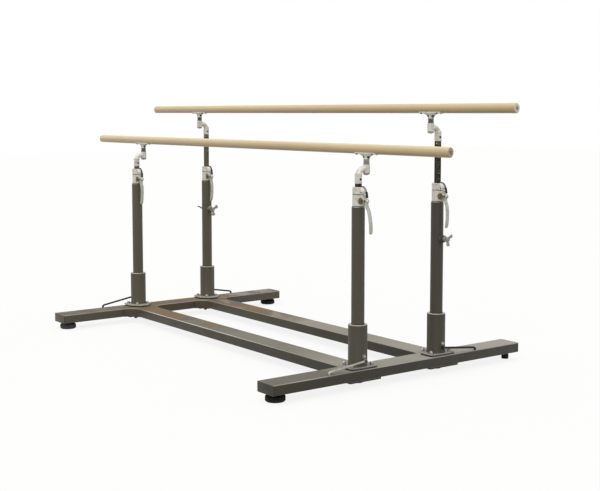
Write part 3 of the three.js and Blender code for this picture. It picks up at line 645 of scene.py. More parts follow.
def moulded_rubber():
    """Moulded black rubber: matt, fine grained, dusty near the floor and greyer at the near left."""
    material, tree, place = started("moulded_rubber")
    x, y, z = add(tree, "ShaderNodeSeparateXYZ", {0: place}).outputs
    body = coated(tree, settings().colours.rubber,
                  (linear("#5a5550"), grain(tree, place, 0.01, most=0.4), (z, 0.02, 0.0)),
                  (linear("#6a6560"), (x, 0.5, -0.5), (y, 0.4, -0.4, 0.0, 0.5)))
    return surfaced(material, tree, body, 0.8, grain(tree, place, 0.0015), 0.3, 0.0003,
                    {"Specular IOR Level": 0.25})


def lacquered_beech():
    """Lacquered beech: pale strips with long fine grain and flecks, browner below with painted shade, a
    painted highlight on the near rail's top, and dark-hearted ends made lighter on the far rail with painted
    light.
    """
    material, tree, place = started("lacquered_beech")
    wood = settings().colours.wood
    (_, y, _), (out, _, up) = add(tree, "ShaderNodeSeparateXYZ", {0: place}).outputs, facing(tree)
    outward = add(tree, "ShaderNodeMath", {0: out}, operation="ABSOLUTE")
    rings = add(tree, "ShaderNodeTexWave", {"Vector": place, "Scale": 28.0, "Distortion": 3.0, "Detail": 2.0},
                wave_type="BANDS", bands_direction="Z")
    heart = add(tree, "ShaderNodeAttribute", attribute_name="heart").outputs["Fac"]
    ends = coated(tree, linear("#a08c6e"),
                  (linear("#b7a384"), rings.outputs["Fac"]),
                  # Lighter ends on the far rail: painted light.
                  (linear("#ddd5c8"), (y, -0.1, 0.1, 0.0, 0.75)),
                  (linear("#5f3f2a"), (heart, 0.3, 0.75, 0.0, 0.9)))
    # Painted shade darkens the underside, and a painted highlight lightens the near rail's top.
    under, top_highlight = (up, 0.4, -0.6, 0.0, 0.85), ((up, 0.4, 0.95, 0.0, 0.4), (y, 0.1, -0.1))
    long = (0.012, 1, 1)
    body = coated(
        tree, shade(wood, 0.92),
        (shade(wood, 1.06), grain(tree, place, 0.006, 3.0, long)),
        (linear("#b99a6a"), grain(tree, place, 0.0016, 2.0, long, 0.5, 0.75, most=0.3)),
        (linear("#a88556"), grain(tree, place, 0.0012, 1.0, (0.12, 1, 1), 0.62, 0.72, most=0.3)),
        (linear("#cdb182"), grain(tree, place, 0.3, 1.0, (1, 0, 0), most=0.3)),
        (linear("#97783c"), under),
        (linear("#efe3c9"), *top_highlight),
        (ends, (outward, 0.75, 0.95)))
    return surfaced(material, tree, body, 0.45, grain(tree, place, 0.0016, 2.0, long), 0.1, 0.0002,
                    {"Coat Weight": 0.5, "Coat Roughness": 0.3})


# Each finish with the CAD's material slot that it belongs to.
FINISHES = {
    "paint": (stove_enamel, "frame_paint"), "plate": (plate_primer, "frame_paint"),
    "casting": (cast_enamel, "cast_paint"), "lever": (lever_enamel, "cast_paint"),
    "pole": (drawn_steel, "dark_steel"), "black rod": (black_rod, "dark_steel"),
    "oxide": (black_oxide, "dark_steel"), "bare steel": (machined_steel, "zinc_steel"),
    "zinc": (zinc_plate, "zinc_steel"), "dark zinc": (dark_zinc, "zinc_steel"),
    "brass": (turned_brass, "brass"), "rubber": (moulded_rubber, "foot_rubber"),
    "wood": (lacquered_beech, "rail_wood"),
}
MADE = {}


def finish(look):
    """The material of that finish, made once."""
    if look not in MADE:
        MADE[look] = FINISHES[look][0]()
    return MADE[look]


def handed(piece, look, body, *nodes, angle=35):
    """Gives a piece its finish and its shading, and hands it to its body in place of those CAD nodes."""
    piece.data.materials.clear()
    piece.data.materials.append(finish(look))
    piece.data.polygons.foreach_set("use_smooth", [True] * len(piece.data.polygons))
    piece.data.set_sharp_from_angle(angle=math.radians(angle))
    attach(piece, body)
    if nodes:
        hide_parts(*nodes)


# Geometry Nodes

def geometry_tree(name, lengths, counts=()):
    """A geometry tree with named inputs for lengths, counts and the finish, and the identifier of each."""
    tree = bpy.data.node_groups.new(name, "GeometryNodeTree")
    face = tree.interface
    face.new_socket("Geometry", in_out="INPUT", socket_type="NodeSocketGeometry")
    keys = {}
    for labels, kind in ((lengths, "Float"), (counts, "Int"), (("Finish",), "Material")):
        for label in labels:
            keys[label] = face.new_socket(label, in_out="INPUT", socket_type=f"NodeSocket{kind}").identifier
    face.new_socket("Geometry", in_out="OUTPUT", socket_type="NodeSocketGeometry")
    return tree, tree.nodes.new("NodeGroupInput").outputs, keys


def closed_tree(tree, shape, material):
    """Ends a tree in real geometry with its material."""
    real = add(tree, "GeometryNodeRealizeInstances", {0: shape})
    add(tree, "NodeGroupOutput", {0: add(tree, "GeometryNodeSetMaterial", {0: real, "Material": material})})


def grown(piece, tree, keys, values):
    """The piece after a geometry tree, with its inputs set by identifier."""
    step = piece.modifiers.new("Grow", "NODES")
    step.node_group = tree
    for label, value in values.items():
        step[keys[label]] = value
    return settled(piece)


def nut_tree():
    """Domed hexagon nuts on washers, one on each point."""
    tree, given, keys = geometry_tree("Domed nuts", (
        "Across corners", "Nut height", "Washer height", "Dome height"))
    half, wide, round_part = [add(tree, "ShaderNodeMath", {0: given["Across corners"], 1: share},
                                  operation="MULTIPLY") for share in (0.5, 0.62, 0.4)]
    washer = add(tree, "GeometryNodeMeshCylinder", {"Vertices": 32, "Radius": wide,
                                                    "Depth": given["Washer height"]})
    flats = add(tree, "GeometryNodeMeshCylinder", {"Vertices": 6, "Radius": half,
                                                   "Depth": given["Nut height"]})
    dome = add(tree, "GeometryNodeMeshUVSphere", {"Segments": 24, "Rings": 12, "Radius": 1.0})
    middle = add(tree, "ShaderNodeMath", {0: given["Nut height"], 1: 0.5}, operation="MULTIPLY")
    lift = add(tree, "ShaderNodeCombineXYZ", {"Z": middle})
    rise = add(tree, "ShaderNodeCombineXYZ", {"Z": given["Nut height"]})
    swell = add(tree, "ShaderNodeCombineXYZ", {"X": round_part, "Y": round_part, "Z": given["Dome height"]})
    nut = add(tree, "GeometryNodeTransform", {"Geometry": flats, "Translation": lift})
    cap = add(tree, "GeometryNodeTransform", {"Geometry": dome, "Translation": rise, "Scale": swell})
    whole = add(tree, "GeometryNodeMeshBoolean", {1: nut}, operation="UNION", solver="EXACT")
    tree.links.new(cap.outputs[0], whole.inputs[1])
    tree.links.new(washer.outputs[0], whole.inputs[1])
    spread = add(tree, "GeometryNodeInstanceOnPoints", {"Points": given["Geometry"], "Instance": whole})
    closed_tree(tree, spread, given["Finish"])
    return tree, keys


def rack_tree():
    """A round bar hanging from its origin, with a flat and a row of detent notches down its +X side."""
    tree, given, keys = geometry_tree("Rack pole", (
        "Length", "Radius", "Pitch", "First drop", "Notch width", "Notch height", "Notch depth",
        "Flat depth"), ("Notches",))
    scaled = {}
    for label, factor in (("Length", -0.5), ("Length", 1.1), ("Radius", 2.0), ("Pitch", -1.0),
                          ("First drop", -1.0), ("Notch depth", 2.0), ("Flat depth", 2.0)):
        scaled[label, factor] = add(tree, "ShaderNodeMath", {0: given[label], 1: factor},
                                    operation="MULTIPLY")
    bar = add(tree, "GeometryNodeMeshCylinder", {"Vertices": 64, "Radius": given["Radius"],
                                                 "Depth": given["Length"]})
    sink = add(tree, "ShaderNodeCombineXYZ", {"Z": scaled["Length", -0.5]})
    hung = add(tree, "GeometryNodeTransform", {"Geometry": bar, "Translation": sink})
    first = add(tree, "ShaderNodeCombineXYZ", {"X": given["Radius"], "Z": scaled["First drop", -1.0]})
    each = add(tree, "ShaderNodeCombineXYZ", {"Z": scaled["Pitch", -1.0]})
    row = add(tree, "GeometryNodeMeshLine", {"Count": given["Notches"], "Start Location": first,
                                             "Offset": each})
    size = add(tree, "ShaderNodeCombineXYZ", {"X": scaled["Notch depth", 2.0], "Y": given["Notch width"],
                                              "Z": given["Notch height"]})
    notch = add(tree, "GeometryNodeMeshCube", {"Size": size})
    cutters = add(tree, "GeometryNodeInstanceOnPoints", {"Points": row, "Instance": notch})
    loose = add(tree, "GeometryNodeRealizeInstances", {0: cutters})
    slab_size = add(tree, "ShaderNodeCombineXYZ", {"X": scaled["Flat depth", 2.0], "Y": scaled["Radius", 2.0],
                                                   "Z": scaled["Length", 1.1]})
    slab = add(tree, "GeometryNodeMeshCube", {"Size": slab_size})
    beside = add(tree, "ShaderNodeCombineXYZ", {"X": given["Radius"], "Z": scaled["Length", -0.5]})
    flat = add(tree, "GeometryNodeTransform", {"Geometry": slab, "Translation": beside})
    planed = add(tree, "GeometryNodeMeshBoolean", {0: hung, 1: flat}, operation="DIFFERENCE", solver="EXACT")
    cut = add(tree, "GeometryNodeMeshBoolean", {0: planed, 1: loose}, operation="DIFFERENCE", solver="EXACT")
    closed_tree(tree, cut, given["Finish"])
    return tree, keys


def rail_tree():
    """An oval bar along its stations, drawn in at each by the station's swell."""
    tree, given, keys = geometry_tree("Oval rail", ("Width", "Height"))
    swell = add(tree, "GeometryNodeInputNamedAttribute", {"Name": "swell"}, data_type="FLOAT").outputs[0]
    line = add(tree, "GeometryNodeMeshToCurve", {"Mesh": given["Geometry"]})
    upright = add(tree, "GeometryNodeSetCurveNormal", {"Curve": line}, mode="Z_UP")
    sized = add(tree, "GeometryNodeSetCurveRadius", {"Curve": upright, "Radius": 1.0})
    disc = add(tree, "GeometryNodeCurvePrimitiveCircle", {"Resolution": 72, "Radius": 0.5})
    spread = add(tree, "ShaderNodeCombineXYZ", {"X": given["Width"], "Y": given["Height"], "Z": 1.0})
    oval = add(tree, "GeometryNodeTransform", {"Geometry": disc, "Scale": spread})
    bar = add(tree, "GeometryNodeCurveToMesh", {"Curve": sized, "Profile Curve": oval, "Scale": swell,
                                                "Fill Caps": True})
    closed_tree(tree, bar, given["Finish"])
    return tree, keys


# Operators

class BARS_OT_base_frame(bpy.types.Operator):
    """Cross beams with backing plates and end caps, and long beams flared at the left"""
    bl_idname = "bars.base_frame"
    bl_label = "Base Frame"

    def cross_beam(self, base, along):
        """A cross beam's tube and backing plates, and what ends below its junctions, about its own middle."""
        half, low = base.beam_length / 2 - CAP - SEAT, -base.beam_height / 2
        outline = rounded_box(base.beam_width, base.beam_height, base.beam_corner)
        backing = prism(rounded_box(base.beam_width, 0.205, 0.006), -0.008, 0.001)
        shapes = [moved(prism(outline, -half, half), TO_FRONT)]
        shapes += [shifted(backing, 0, across * base.track / 2, low) for _, across in SIDES]
        spigot = turned([(0, -0.023), (0.027, -0.023), (0.0285, -0.0215), (0.0285, 0), (0, 0)], 48)
        bolt_end = turned([(0, -0.021), (0.0095, -0.021), (0.0105, -0.02), (0.0105, 0), (0, 0)], 24)
        for _, across in SIDES:
            middle = across * base.track / 2
            shapes.append(shifted(spigot, 0, middle, low))
            shapes += [shifted(bolt_end, -along * 0.045, middle + step, low) for step in (-0.046, 0.046)]
        if along > 0:
            nut = turned([(0, -0.0167), (0.016, -0.0167), (0.017, -0.0157), (0.017, 0.001), (0, 0.001)], 6)
            shapes.append(shifted(nut, 0, base.beam_length / 2 - LEVELLER_INSET, low))
        return shapes

    def long_beam(self, base):
        """The plan of a long beam, flared into the left corners and let square into the right cross beam."""
        half = base.spacing / 2 - base.beam_width / 2 - SEAT
        land, bite = 0.008, 0.005
        centre_x, centre_y = half - land - base.gusset, base.beam_width / 2 + base.gusset
        flare = [(half, centre_y)] + arc(centre_x, centre_y, base.gusset, 0, -math.pi / 2, 20)
        upper = [(half + bite, base.beam_width / 2)] + [(-x, y) for x, y in reversed(flare)]
        return upper + [(x, -y) for x, y in reversed(upper)]

    def execute(self, context):
        base = settings().base
        middle = base.floor_gap + base.beam_height / 2
        outline = rounded_box(base.beam_width, base.beam_height, base.beam_corner)
        face = moved(prism(outline, 0, CAP), TO_FRONT)
        for end, along in ENDS:
            place = Matrix.Translation((along * base.spacing / 2, 0, middle))
            beam = fused(f"cross_tube_{end}", [moved(shape, place) for shape in self.cross_beam(base, along)])
            handed(bevelled(beam, 0.0008, 2), "paint", "base", f"cross_beam_{end}")
            for side, across in SIDES:
                cap = bevelled(blank(f"tube_cap_{side}_{end}", [face]), 0.0012, 3)
                turn = Matrix.Rotation(math.pi if across > 0 else 0, 4, "Z")
                reach = Matrix.Translation((0, across * base.beam_length / 2, 0))
                cap.data.transform(place @ reach @ turn @ Matrix.Translation((0, CAP, 0)))
                handed(cap, "paint", "base", f"end_cap_{side}_{end}")
        for side, across in SIDES:
            beam = blank(f"flared_tube_{side}", [prism(self.long_beam(base), 0, base.beam_height)])
            bevelled(beam, 0.005, 4, 70)
            beam.data.transform(Matrix.Translation((0, across * base.track / 2, base.floor_gap)))
            handed(beam, "paint", "base", f"long_beam_{side}")
        return {"FINISHED"}


class BARS_OT_feet(bpy.types.Operator):
    """Ribbed rubber pad feet and the small levelling foot"""
    bl_idname = "bars.feet"
    bl_label = "Feet"

    def pad(self, radius):
        """A pad foot with three grooves round it and a neck into the beam."""
        rim = [(0, 0), (radius - 0.006, 0), (radius, 0.006)]
        for height in (0.01, 0.0155, 0.021):
            rim += [(radius, height), (radius - 0.0012, height + 0.0008), (radius - 0.0012, height + 0.0018),
                    (radius, height + 0.0026)]
        rim += [(radius, 0.025), (radius - 0.006, 0.031), (0.023, 0.031), (0.023, 0.0417), (0, 0.0417)]
        return blank("pad", [turned(eased(rim, 0.0015, 2), 64)])

    def leveller(self, crest=0.007, root=0.0062, pitch=0.0028, turns=14):
        """The levelling foot with the threads of its stem."""
        stem = [(0.0, 0), (0.0185, 0), (0.02, 0.0015), (0.02, 0.0235), (0.0185, 0.025), (crest, 0.025)]
        for i in range(turns):
            height = 0.026 + i * pitch
            stem += [(crest, height), (root, height + pitch / 2)]
        return blank("levelling_screw", [turned(stem + [(crest, 0.066), (0, 0.066)], 48)])

    def execute(self, context):
        base = settings().base
        pattern, reach = self.pad(base.foot_diameter / 2), base.beam_length / 2 - PAD_INSET
        for name, _, across, along in UPRIGHTS:
            if name != "far_right":
                spot = Matrix.Translation((along * base.spacing / 2, across * reach, 0))
                foot = copied(pattern, f"rubber_pad_{name}", spot)
                handed(foot, "rubber", "base", f"pad_foot_{name}", angle=50)
        discard(pattern)
        foot = self.leveller()
        foot.data.transform(Matrix.Translation((base.spacing / 2, base.beam_length / 2 - LEVELLER_INSET, 0)))
        handed(foot, "rubber", "levelling_foot", "levelling_foot")
        return {"FINISHED"}


class BARS_OT_sockets(bpy.types.Operator):
    """Sockets on clipped base plates, with their domed nuts and lever pins"""
    bl_idname = "bars.sockets"
    bl_label = "Sockets"

    def plan(self, inset, half):
        """The base plate's outline, drawn in by inset. Its longest side lies over the long beam."""
        outer, half = 0.064 - inset, half - inset
        points = [(outer, half - 0.013), (outer - 0.013, half), (-0.022, half), (inset - 0.084, 0.03)]
        return eased(points + [(x, -y) for x, y in reversed(points)], 0.005, 3, True)

    def tube(self, radius, bore, low, top, pin_height):
        """The socket's wall with its faint groove, and the lever's boss and pin."""
        wall = [(bore, low - 0.001), (radius + 0.003, low - 0.001), (radius + 0.0012, low + 0.002),
                (radius, low + 0.005), (radius, top - 0.0208), (radius - 0.0006, top - 0.0203),
                (radius - 0.0006, top - 0.0197), (radius, top - 0.0192), (radius, top - 0.0045),
                (radius - 0.0012, top - 0.0035), (bore, top - 0.0035)]
        inside, eye_end = 0.0417, 0.0666
        fittings = [rod(0.0095, inside, 0.055, 40, 0.001), rod(0.005, inside, eye_end + 0.001),
                    rod(0.0085, eye_end, eye_end + 0.004, 32, 0.0012)]
        return fused("socket", [turned(wall, 72)] + [shifted(moved(s, TO_X), z=pin_height) for s in fittings])

    def rim(self, radius, bore, top):
        """The socket's machined end, with a chamfer outside and inside."""
        return blank("rim", [turned([
            (bore, top - 0.0034), (radius - 0.0013, top - 0.0034), (radius - 0.0013, top - 0.0016),
            (radius - 0.003, top), (bore + 0.0015, top), (bore, top - 0.0015)], 72)])

    def execute(self, context):
        tree, keys = nut_tree()
        upright = settings().upright
        radius, bore, top = upright.socket / 2, upright.column / 2 + 0.0008, upright.socket_top
        sizes = {"Across corners": upright.nut, "Nut height": 0.0075, "Washer height": 0.0024,
                 "Dome height": 0.0065, "Finish": finish("bare steel")}
        pinch_sizes = {**sizes, "Across corners": 0.0165, "Dome height": 0.005}
        rim = self.rim(radius, bore, top)
        for end, along in ENDS:
            seat, thick, half, inset, pin_height = PLATES[end]
            low = seat + thick
            tube = self.tube(radius, bore, low, top, pin_height)
            plate = bevelled(blank("plate", [prism(self.plan(0, half), seat, low)]), 0.002, 3)
            # The packing is black oxide under the plate: painted shade for the gap beneath it.
            packing_and_shade = blank("packing_and_shade", [prism(self.plan(inset, half), 0, seat + 0.001)])
            points = [(x, y * s, low + 0.0012) for x, y in ((0.034, half - 0.022), (-0.052, half - 0.041))
                      for s in (-1, 1)]
            nuts = grown(blank("nuts", [(points, [])]), tree, keys, sizes)
            pinch = grown(blank("pinch", [([(0, 0, 0.0012)], [])]), tree, keys, pinch_sizes)
            pinch.data.transform(Matrix.Translation((radius - 0.0006, 0, pin_height + 0.021)) @ TO_X)
            for side, across in SIDES:
                spot, name = foot_place(across, along), f"{side}_{end}"
                handed(copied(tube, f"socket_tube_{name}", spot), "paint", "base", f"socket_{name}")
                for pattern, label, look in (
                        (plate, "base_plate", "plate"), (rim, "socket_rim", "bare steel"),
                        (nuts, "plate_nuts", "bare steel"), (pinch, "pinch_nut", "bare steel"),
                        (packing_and_shade, "plate_packing", "oxide")):
                    handed(copied(pattern, f"{label}_{name}", spot), look, "base")
            discard(tube, plate, packing_and_shade, nuts, pinch)
        discard(rim)
        return {"FINISHED"}


class BARS_OT_lock_levers(bpy.types.Operator):
    """Bent rod levers beside the sockets, each with a peg that stands on the beam"""
    bl_idname = "bars.lock_levers"
    bl_label = "Lock Levers"

    def lever(self, name, height, outward):
        """A lever about its pin at that height, which reaches along Y to its peg."""
        drop, span, bend = height - 0.014, 0.232, 0.013
        head = Vector((0, outward * 0.0085, -drop * 0.0085 / span))
        knee = Vector((0, outward * span, -drop))
        start = knee + Vector((0, -outward * bend, drop * bend / span))
        foot = knee + Vector((0, 0, -0.0135))
        line = [head] + [head.lerp(start, t) for t in (0.3, 0.6, 0.9)] + bent(start, knee, foot, 8)
        eye = turned(eased([(0.0058, 0), (0.0095, 0), (0.0095, 0.01), (0.0058, 0.01)], 0.0012, 3, True), 40)
        lever = fused(f"bent_lever_{name}", [shifted(moved(eye, TO_X), x=-0.005),
                                             swept(line, circle(0.0057, 24))])
        peg = eased([(0, -0.0005), (0.0062, -0.0005), (0.0066, 0.012), (0, 0.0135)], 0.002)
        return worked(lever, [shifted(turned(peg, 32), 0, outward * span, -height + 0.0008)], "UNION")

    def execute(self, context):
        looks = {"near_right": "bare steel", "far_right": "pole"}
        for name, _, across, along in UPRIGHTS:
            height = PLATES["right" if along > 0 else "left"][-1]
            lever = self.lever(name, height, across * along)
            # A lever's middle is 60.8 mm from the axis of its socket.
            lever.data.transform(foot_place(across, along) @ Matrix.Translation((0.0608, 0, height)))
            handed(lever, looks.get(name, "black rod"), f"lock_lever_{name}", f"lock_lever_{name}")
        return {"FINISHED"}


class BARS_OT_columns(bpy.types.Operator):
    """Painted column tubes, with a screw boss on the far ones"""
    bl_idname = "bars.columns"
    bl_label = "Columns"

    def bossed(self, tube, bore, tall, rise):
        """The tube with a hand screw's boss at that rise, and the hole through it."""
        boss = eased([(0.0, 0.0315), (0.023, 0.0315), (0.02, 0.038), (0.02, 0.05), (0.0, 0.05)], 0.002)
        hole = shifted(moved(rod(0.0068, 0, 0.06), TO_X), z=rise)
        worked(tube, [shifted(moved(turned(boss, 48), TO_X), z=rise)], "UNION")
        worked(tube, [hole, rod(bore, 0.005, tall - 0.02, 72)], "DIFFERENCE")

    def stop_rod(self, across, along):
        """A short bent rod that stands out of the far left column opposite its hand screw."""
        line = smooth_line([(-0.031, 0, 0.708), (-0.045, -0.005, 0.712), (-0.062, -0.014, 0.722),
                            (-0.078, -0.026, 0.729)], 6)
        shape = swept(line, circle(0.0042, 16), [1.0] * (len(line) - 2) + [0.95, 0.6], (0, 0, 1))
        piece = blank("stop_rod_far_left", [shape])
        piece.data.transform(on_column(across, along, 0))
        handed(piece, "black rod", "column_far_left")

    def execute(self, context):
        radius = settings().upright.column / 2
        bore, edge = radius - 0.004, radius - 0.0003
        for name, side, across, along in UPRIGHTS:
            node = f"column_{name}"
            low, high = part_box(node)
            tall, spot = high[2] - low[2], on_column(across, along, low[2])
            tube = blank(f"column_tube_{name}", [ring(bore, radius, 0, tall - 0.0032, 72)])
            rim = blank(f"column_rim_{name}", [turned([
                (bore, tall - 0.003), (edge, tall - 0.003), (edge, tall - 0.0014), (radius - 0.0018, tall),
                (bore, tall)], 72)])
            rim.data.transform(spot)
            handed(rim, "bare steel", node)
            if side == "far":
                self.bossed(tube, bore, tall, HAND_SCREW_HEIGHT - low[2])
            tube.data.transform(spot)
            handed(tube, "paint", node, node)
            if name == "far_left":
                self.stop_rod(across, along)
        return {"FINISHED"}


class BARS_OT_hand_screws(bpy.types.Operator):
    """Cast three-lobed hand screws on the far columns"""
    bl_idname = "bars.hand_screws"
    bl_label = "Hand Screws"

    def screw(self, name, reach, swell):
        """A cast screw whose lobes end at that reach, thickened there by swell."""
        hub = eased([(0, 0), (0.0125, 0), (0.0135, 0.012), (0.012, 0.0365), (0, 0.0375)], 0.003)
        swells = [0.95 + swell * math.sin(math.pi * i / 14) for i in range(10)]
        scales = [1.0] * 6 + swells + [0.9, 0.86, 0.78, 0.66, 0.4]
        flat, shapes = [(x * 0.0095, y * 0.0045) for x, y in circle(1, 24)], [turned(hub, 40)]
        for k in range(3):
            angle = 0.58 + 2 * math.pi * k / 3
            course = Vector((math.cos(angle), math.sin(angle), 0))
            line = [course * reach * share + Vector((0, 0, rise)) for share, rise in
                    ((0.12, 0.026), (0.42, 0.029), (0.7, 0.0315), (0.91, 0.0325), (1, 0.0325))]
            shapes.append(swept(smooth_line(line, 5), flat, scales))
        return worked(cast(blank(name, shapes), 0.0008, 5), [rod(0.006, -0.0213, 0.002)], "UNION")

    def execute(self, context):
        for end, along, reach, swell in (("left", -1, 0.0425, 0.6), ("right", 1, 0.036, 0.25)):
            screw = self.screw(f"wing_screw_far_{end}", reach, swell)
            # A screw's hub begins 50.8 mm from the column's axis, just off the boss.
            spot = on_column(1, along, HAND_SCREW_HEIGHT) @ Matrix.Translation((0.0508, 0, 0))
            screw.data.transform(spot @ TO_X)
            handed(screw, "zinc", f"hand_screw_far_{end}", f"hand_screw_far_{end}")
        return {"FINISHED"}


class BARS_OT_clamp_heads(bpy.types.Operator):
    """Cast clamp heads with their straps and brass bolts"""
    bl_idname = "bars.clamp_heads"
    bl_label = "Clamp Heads"

    def head(self, wall=0.03, nose=0.016, tall=0.097):
        """A round clamp with a square nose, cut to its side outline, then slit and bored."""
        opening = math.asin(nose / wall)
        plan = (arc(0, 0, wall, opening, 2 * math.pi - opening, 40)
                + arc(0.045, -0.011, 0.005, -math.pi / 2, 0, 6) + arc(0.045, 0.011, 0.005, 0, math.pi / 2, 6))
        shoulder = bent(Vector((0.047, 0.062)), Vector((0.047, tall)), Vector((0.017, tall)), 14)
        side = ([(-0.04, 0)] + arc(0.034, 0.016, 0.016, -math.pi / 2, 0, 10) + [(0.05, 0.06)]
                + [tuple(p) for p in shoulder] + [(-0.04, tall)])
        body = worked(blank("head", [prism(plan, 0, tall)]), [moved(prism(side, -0.04, 0.04), TO_FRONT)],
                      "INTERSECT")
        lug = [(0.045, -0.009)] + arc(LUG[0], 0, 0.009, -math.pi / 2, math.pi / 2, 14) + [(0.045, 0.009)]
        worked(body, [shifted(moved(prism(lug, -0.006, 0.006), TO_FRONT), z=LUG[2]),
                      shifted(moved(rod(0.0158, 0.0112, 0.0162, 48), TO_FRONT), *BOLT)], "UNION")
        counterbore = turned([(0, 0.095), (0.021, 0.095), (0.0225, 0.12), (0, 0.12)], 64)
        return cast(body, 0.001, 3, [
            ring(0.0242, 0.075, 0.0588, 0.0622, 48), rod(0.0183, -0.01, 0.12, 64), counterbore,
            ring(0.0275, 0.05, -0.01, 0.003, 64),
            shifted(moved(rod(0.0045, 0.0115, 0.05, 24), TO_FRONT), *HEAD_SCREW),
            shifted(moved(rod(0.0048, -0.03, 0.03), TO_FRONT), *LUG)])

    def strap(self):
        """The strap's upper part over the head's shoulder."""
        line = [(0.0186, 0.0993), (0.0293, 0.0993), (0.0447, 0.088), (0.0535, 0.0715)]
        path = smooth_line([(x, 0.01, z) for x, z in line], 8)
        return blank("strap", [swept(path, rounded_box(0.008, 0.0038, 0.0012, 3), side=(0, 1, 0))])

    def link(self):
        """The thick link that the strap hooks into, beside the head's nose."""
        path = smooth_line([(x, 0.008, z) for x, z in ((0.0545, 0.074), (0.0575, 0.06), (0.061, 0.044))], 8)
        return blank("link", [swept(path, rounded_box(0.012, 0.0062, 0.0024, 4), side=(0, 1, 0))])

    def packing_and_shade(self):
        """Black rings of painted shade deep in the head's slit and under its foot, and the set screw's head
        in its hole.
        """
        screw = turned([(0, 0.0116), (0.0043, 0.0116), (0.0043, 0.0132), (0.002, 0.0132), (0.002, 0.0122),
                        (0, 0.0122)], 24)
        return blank("packing_and_shade", [
            ring(0.0243, 0.0285, 0.059, 0.062, 64), ring(0.0277, 0.0305, 0.0002, 0.0029, 64),
            shifted(moved(screw, TO_FRONT), *HEAD_SCREW)])

    def bolt(self, face=0.0163):
        """The clamp bolt with its wide head, which has a slot and two small holes."""
        body = blank("bolt", [turned([
            (0, -face - 0.005), (0.0105, -face - 0.005), (0.011, -face - 0.004), (0.011, -face),
            (0.0065, -face), (0.0065, face), (0.0165, face), (0.0165, face + 0.0054), (0.0152, face + 0.0068),
            (0.0105, face + 0.0064), (0.0098, face + 0.009), (0.009, face + 0.0095),
            (0, face + 0.0095)], 56)])
        slot = prism([(-0.012, -0.0015), (0.012, -0.0015), (0.012, 0.0015), (-0.012, 0.0015)],
                     face + 0.0072, 0.05)
        holes = [shifted(rod(0.002, face + 0.0042, 0.05, 20), 0, y) for y in (-0.0135, 0.0135)]
        worked(body, [slot] + holes, "DIFFERENCE")
        body.data.transform(Matrix.Translation(BOLT) @ TO_FRONT)
        return body

    def execute(self, context):
        head, strap, link, packing_and_shade, bolt = self.head(), self.strap(), self.link(), self.packing_and_shade(), self.bolt()
        looks = {"near_right": "zinc", "far_right": "dark zinc"}
        for name, _, across, along in UPRIGHTS:
            spot, body = on_column(across, along, HEAD_FOOT), f"column_{name}"
            look = looks.get(name, "black rod")
            handed(copied(head, f"cast_head_{name}", spot), "casting", body, f"clamp_head_{name}")
            handed(copied(strap, f"head_strap_{name}", spot), look, body, f"latch_strap_{name}")
            handed(copied(link, f"strap_link_{name}", spot), "oxide", body)
            handed(copied(packing_and_shade, f"head_packing_{name}", spot), "oxide", body)
            handed(copied(bolt, f"brass_bolt_{name}", spot), "brass", body, f"clamp_bolt_{name}")
        discard(head, strap, link, packing_and_shade, bolt)
        return {"FINISHED"}


class BARS_OT_clamp_levers(bpy.types.Operator):
    """Curved cast levers hanging from the heads"""
    bl_idname = "bars.clamp_levers"
    bl_label = "Clamp Levers"

    def lever(self, reach=0.166, bow=0.008):
        """A cast lever that hangs from its eye in a shallow bow, with its end rounded off."""
        down = (0, 0.15, 0.3, 0.5, 0.75, 0.9, 1)
        out = (0, -0.25, 0.75, 1, 0.6, -0.1, -0.75)
        path = smooth_line([(o * bow, 0, -d * reach) for o, d in zip(out, down)], 8)
        last = len(path) - 1
        scales = [1.0 if i < last - 8 else math.sqrt(max(0.05, 1 - ((i - last + 8) / 8.2) ** 2)) ** 0.6
                  for i in range(last + 1)]
        handle = swept(path, rounded_box(0.0108, 0.0198, 0.0042, 5), scales)
        eye = moved(rod(0.011, -0.01, 0.01, 48, 0.0015), TO_FRONT)
        slot = moved(prism([(-0.0135, -0.0118), (0.0135, -0.0118), (0.0135, 0.0118), (-0.0135, 0.0118)],
                           -0.0068, 0.0068), TO_FRONT)
        return cast(blank("lever", [handle, eye]), 0.0009, 4, [slot])

    def execute(self, context):
        lever = self.lever()
        pin = blank("pin", [moved(rod(0.0046, -0.0118, 0.0118, 32, 0.0008), TO_FRONT)])
        for name, _, across, along in UPRIGHTS:
            turn = Matrix.Rotation(-math.radians(LEVER_TURNS.get(name, 0)), 4, "Y")
            spot = on_column(across, along, HEAD_FOOT) @ Matrix.Translation(LUG) @ turn
            body = f"clamp_lever_{name}"
            handed(copied(lever, f"cast_lever_{name}", spot), "lever", body, body)
            handed(copied(pin, f"lever_pin_{name}", spot), "oxide", body)
        discard(lever, pin)
        return {"FINISHED"}


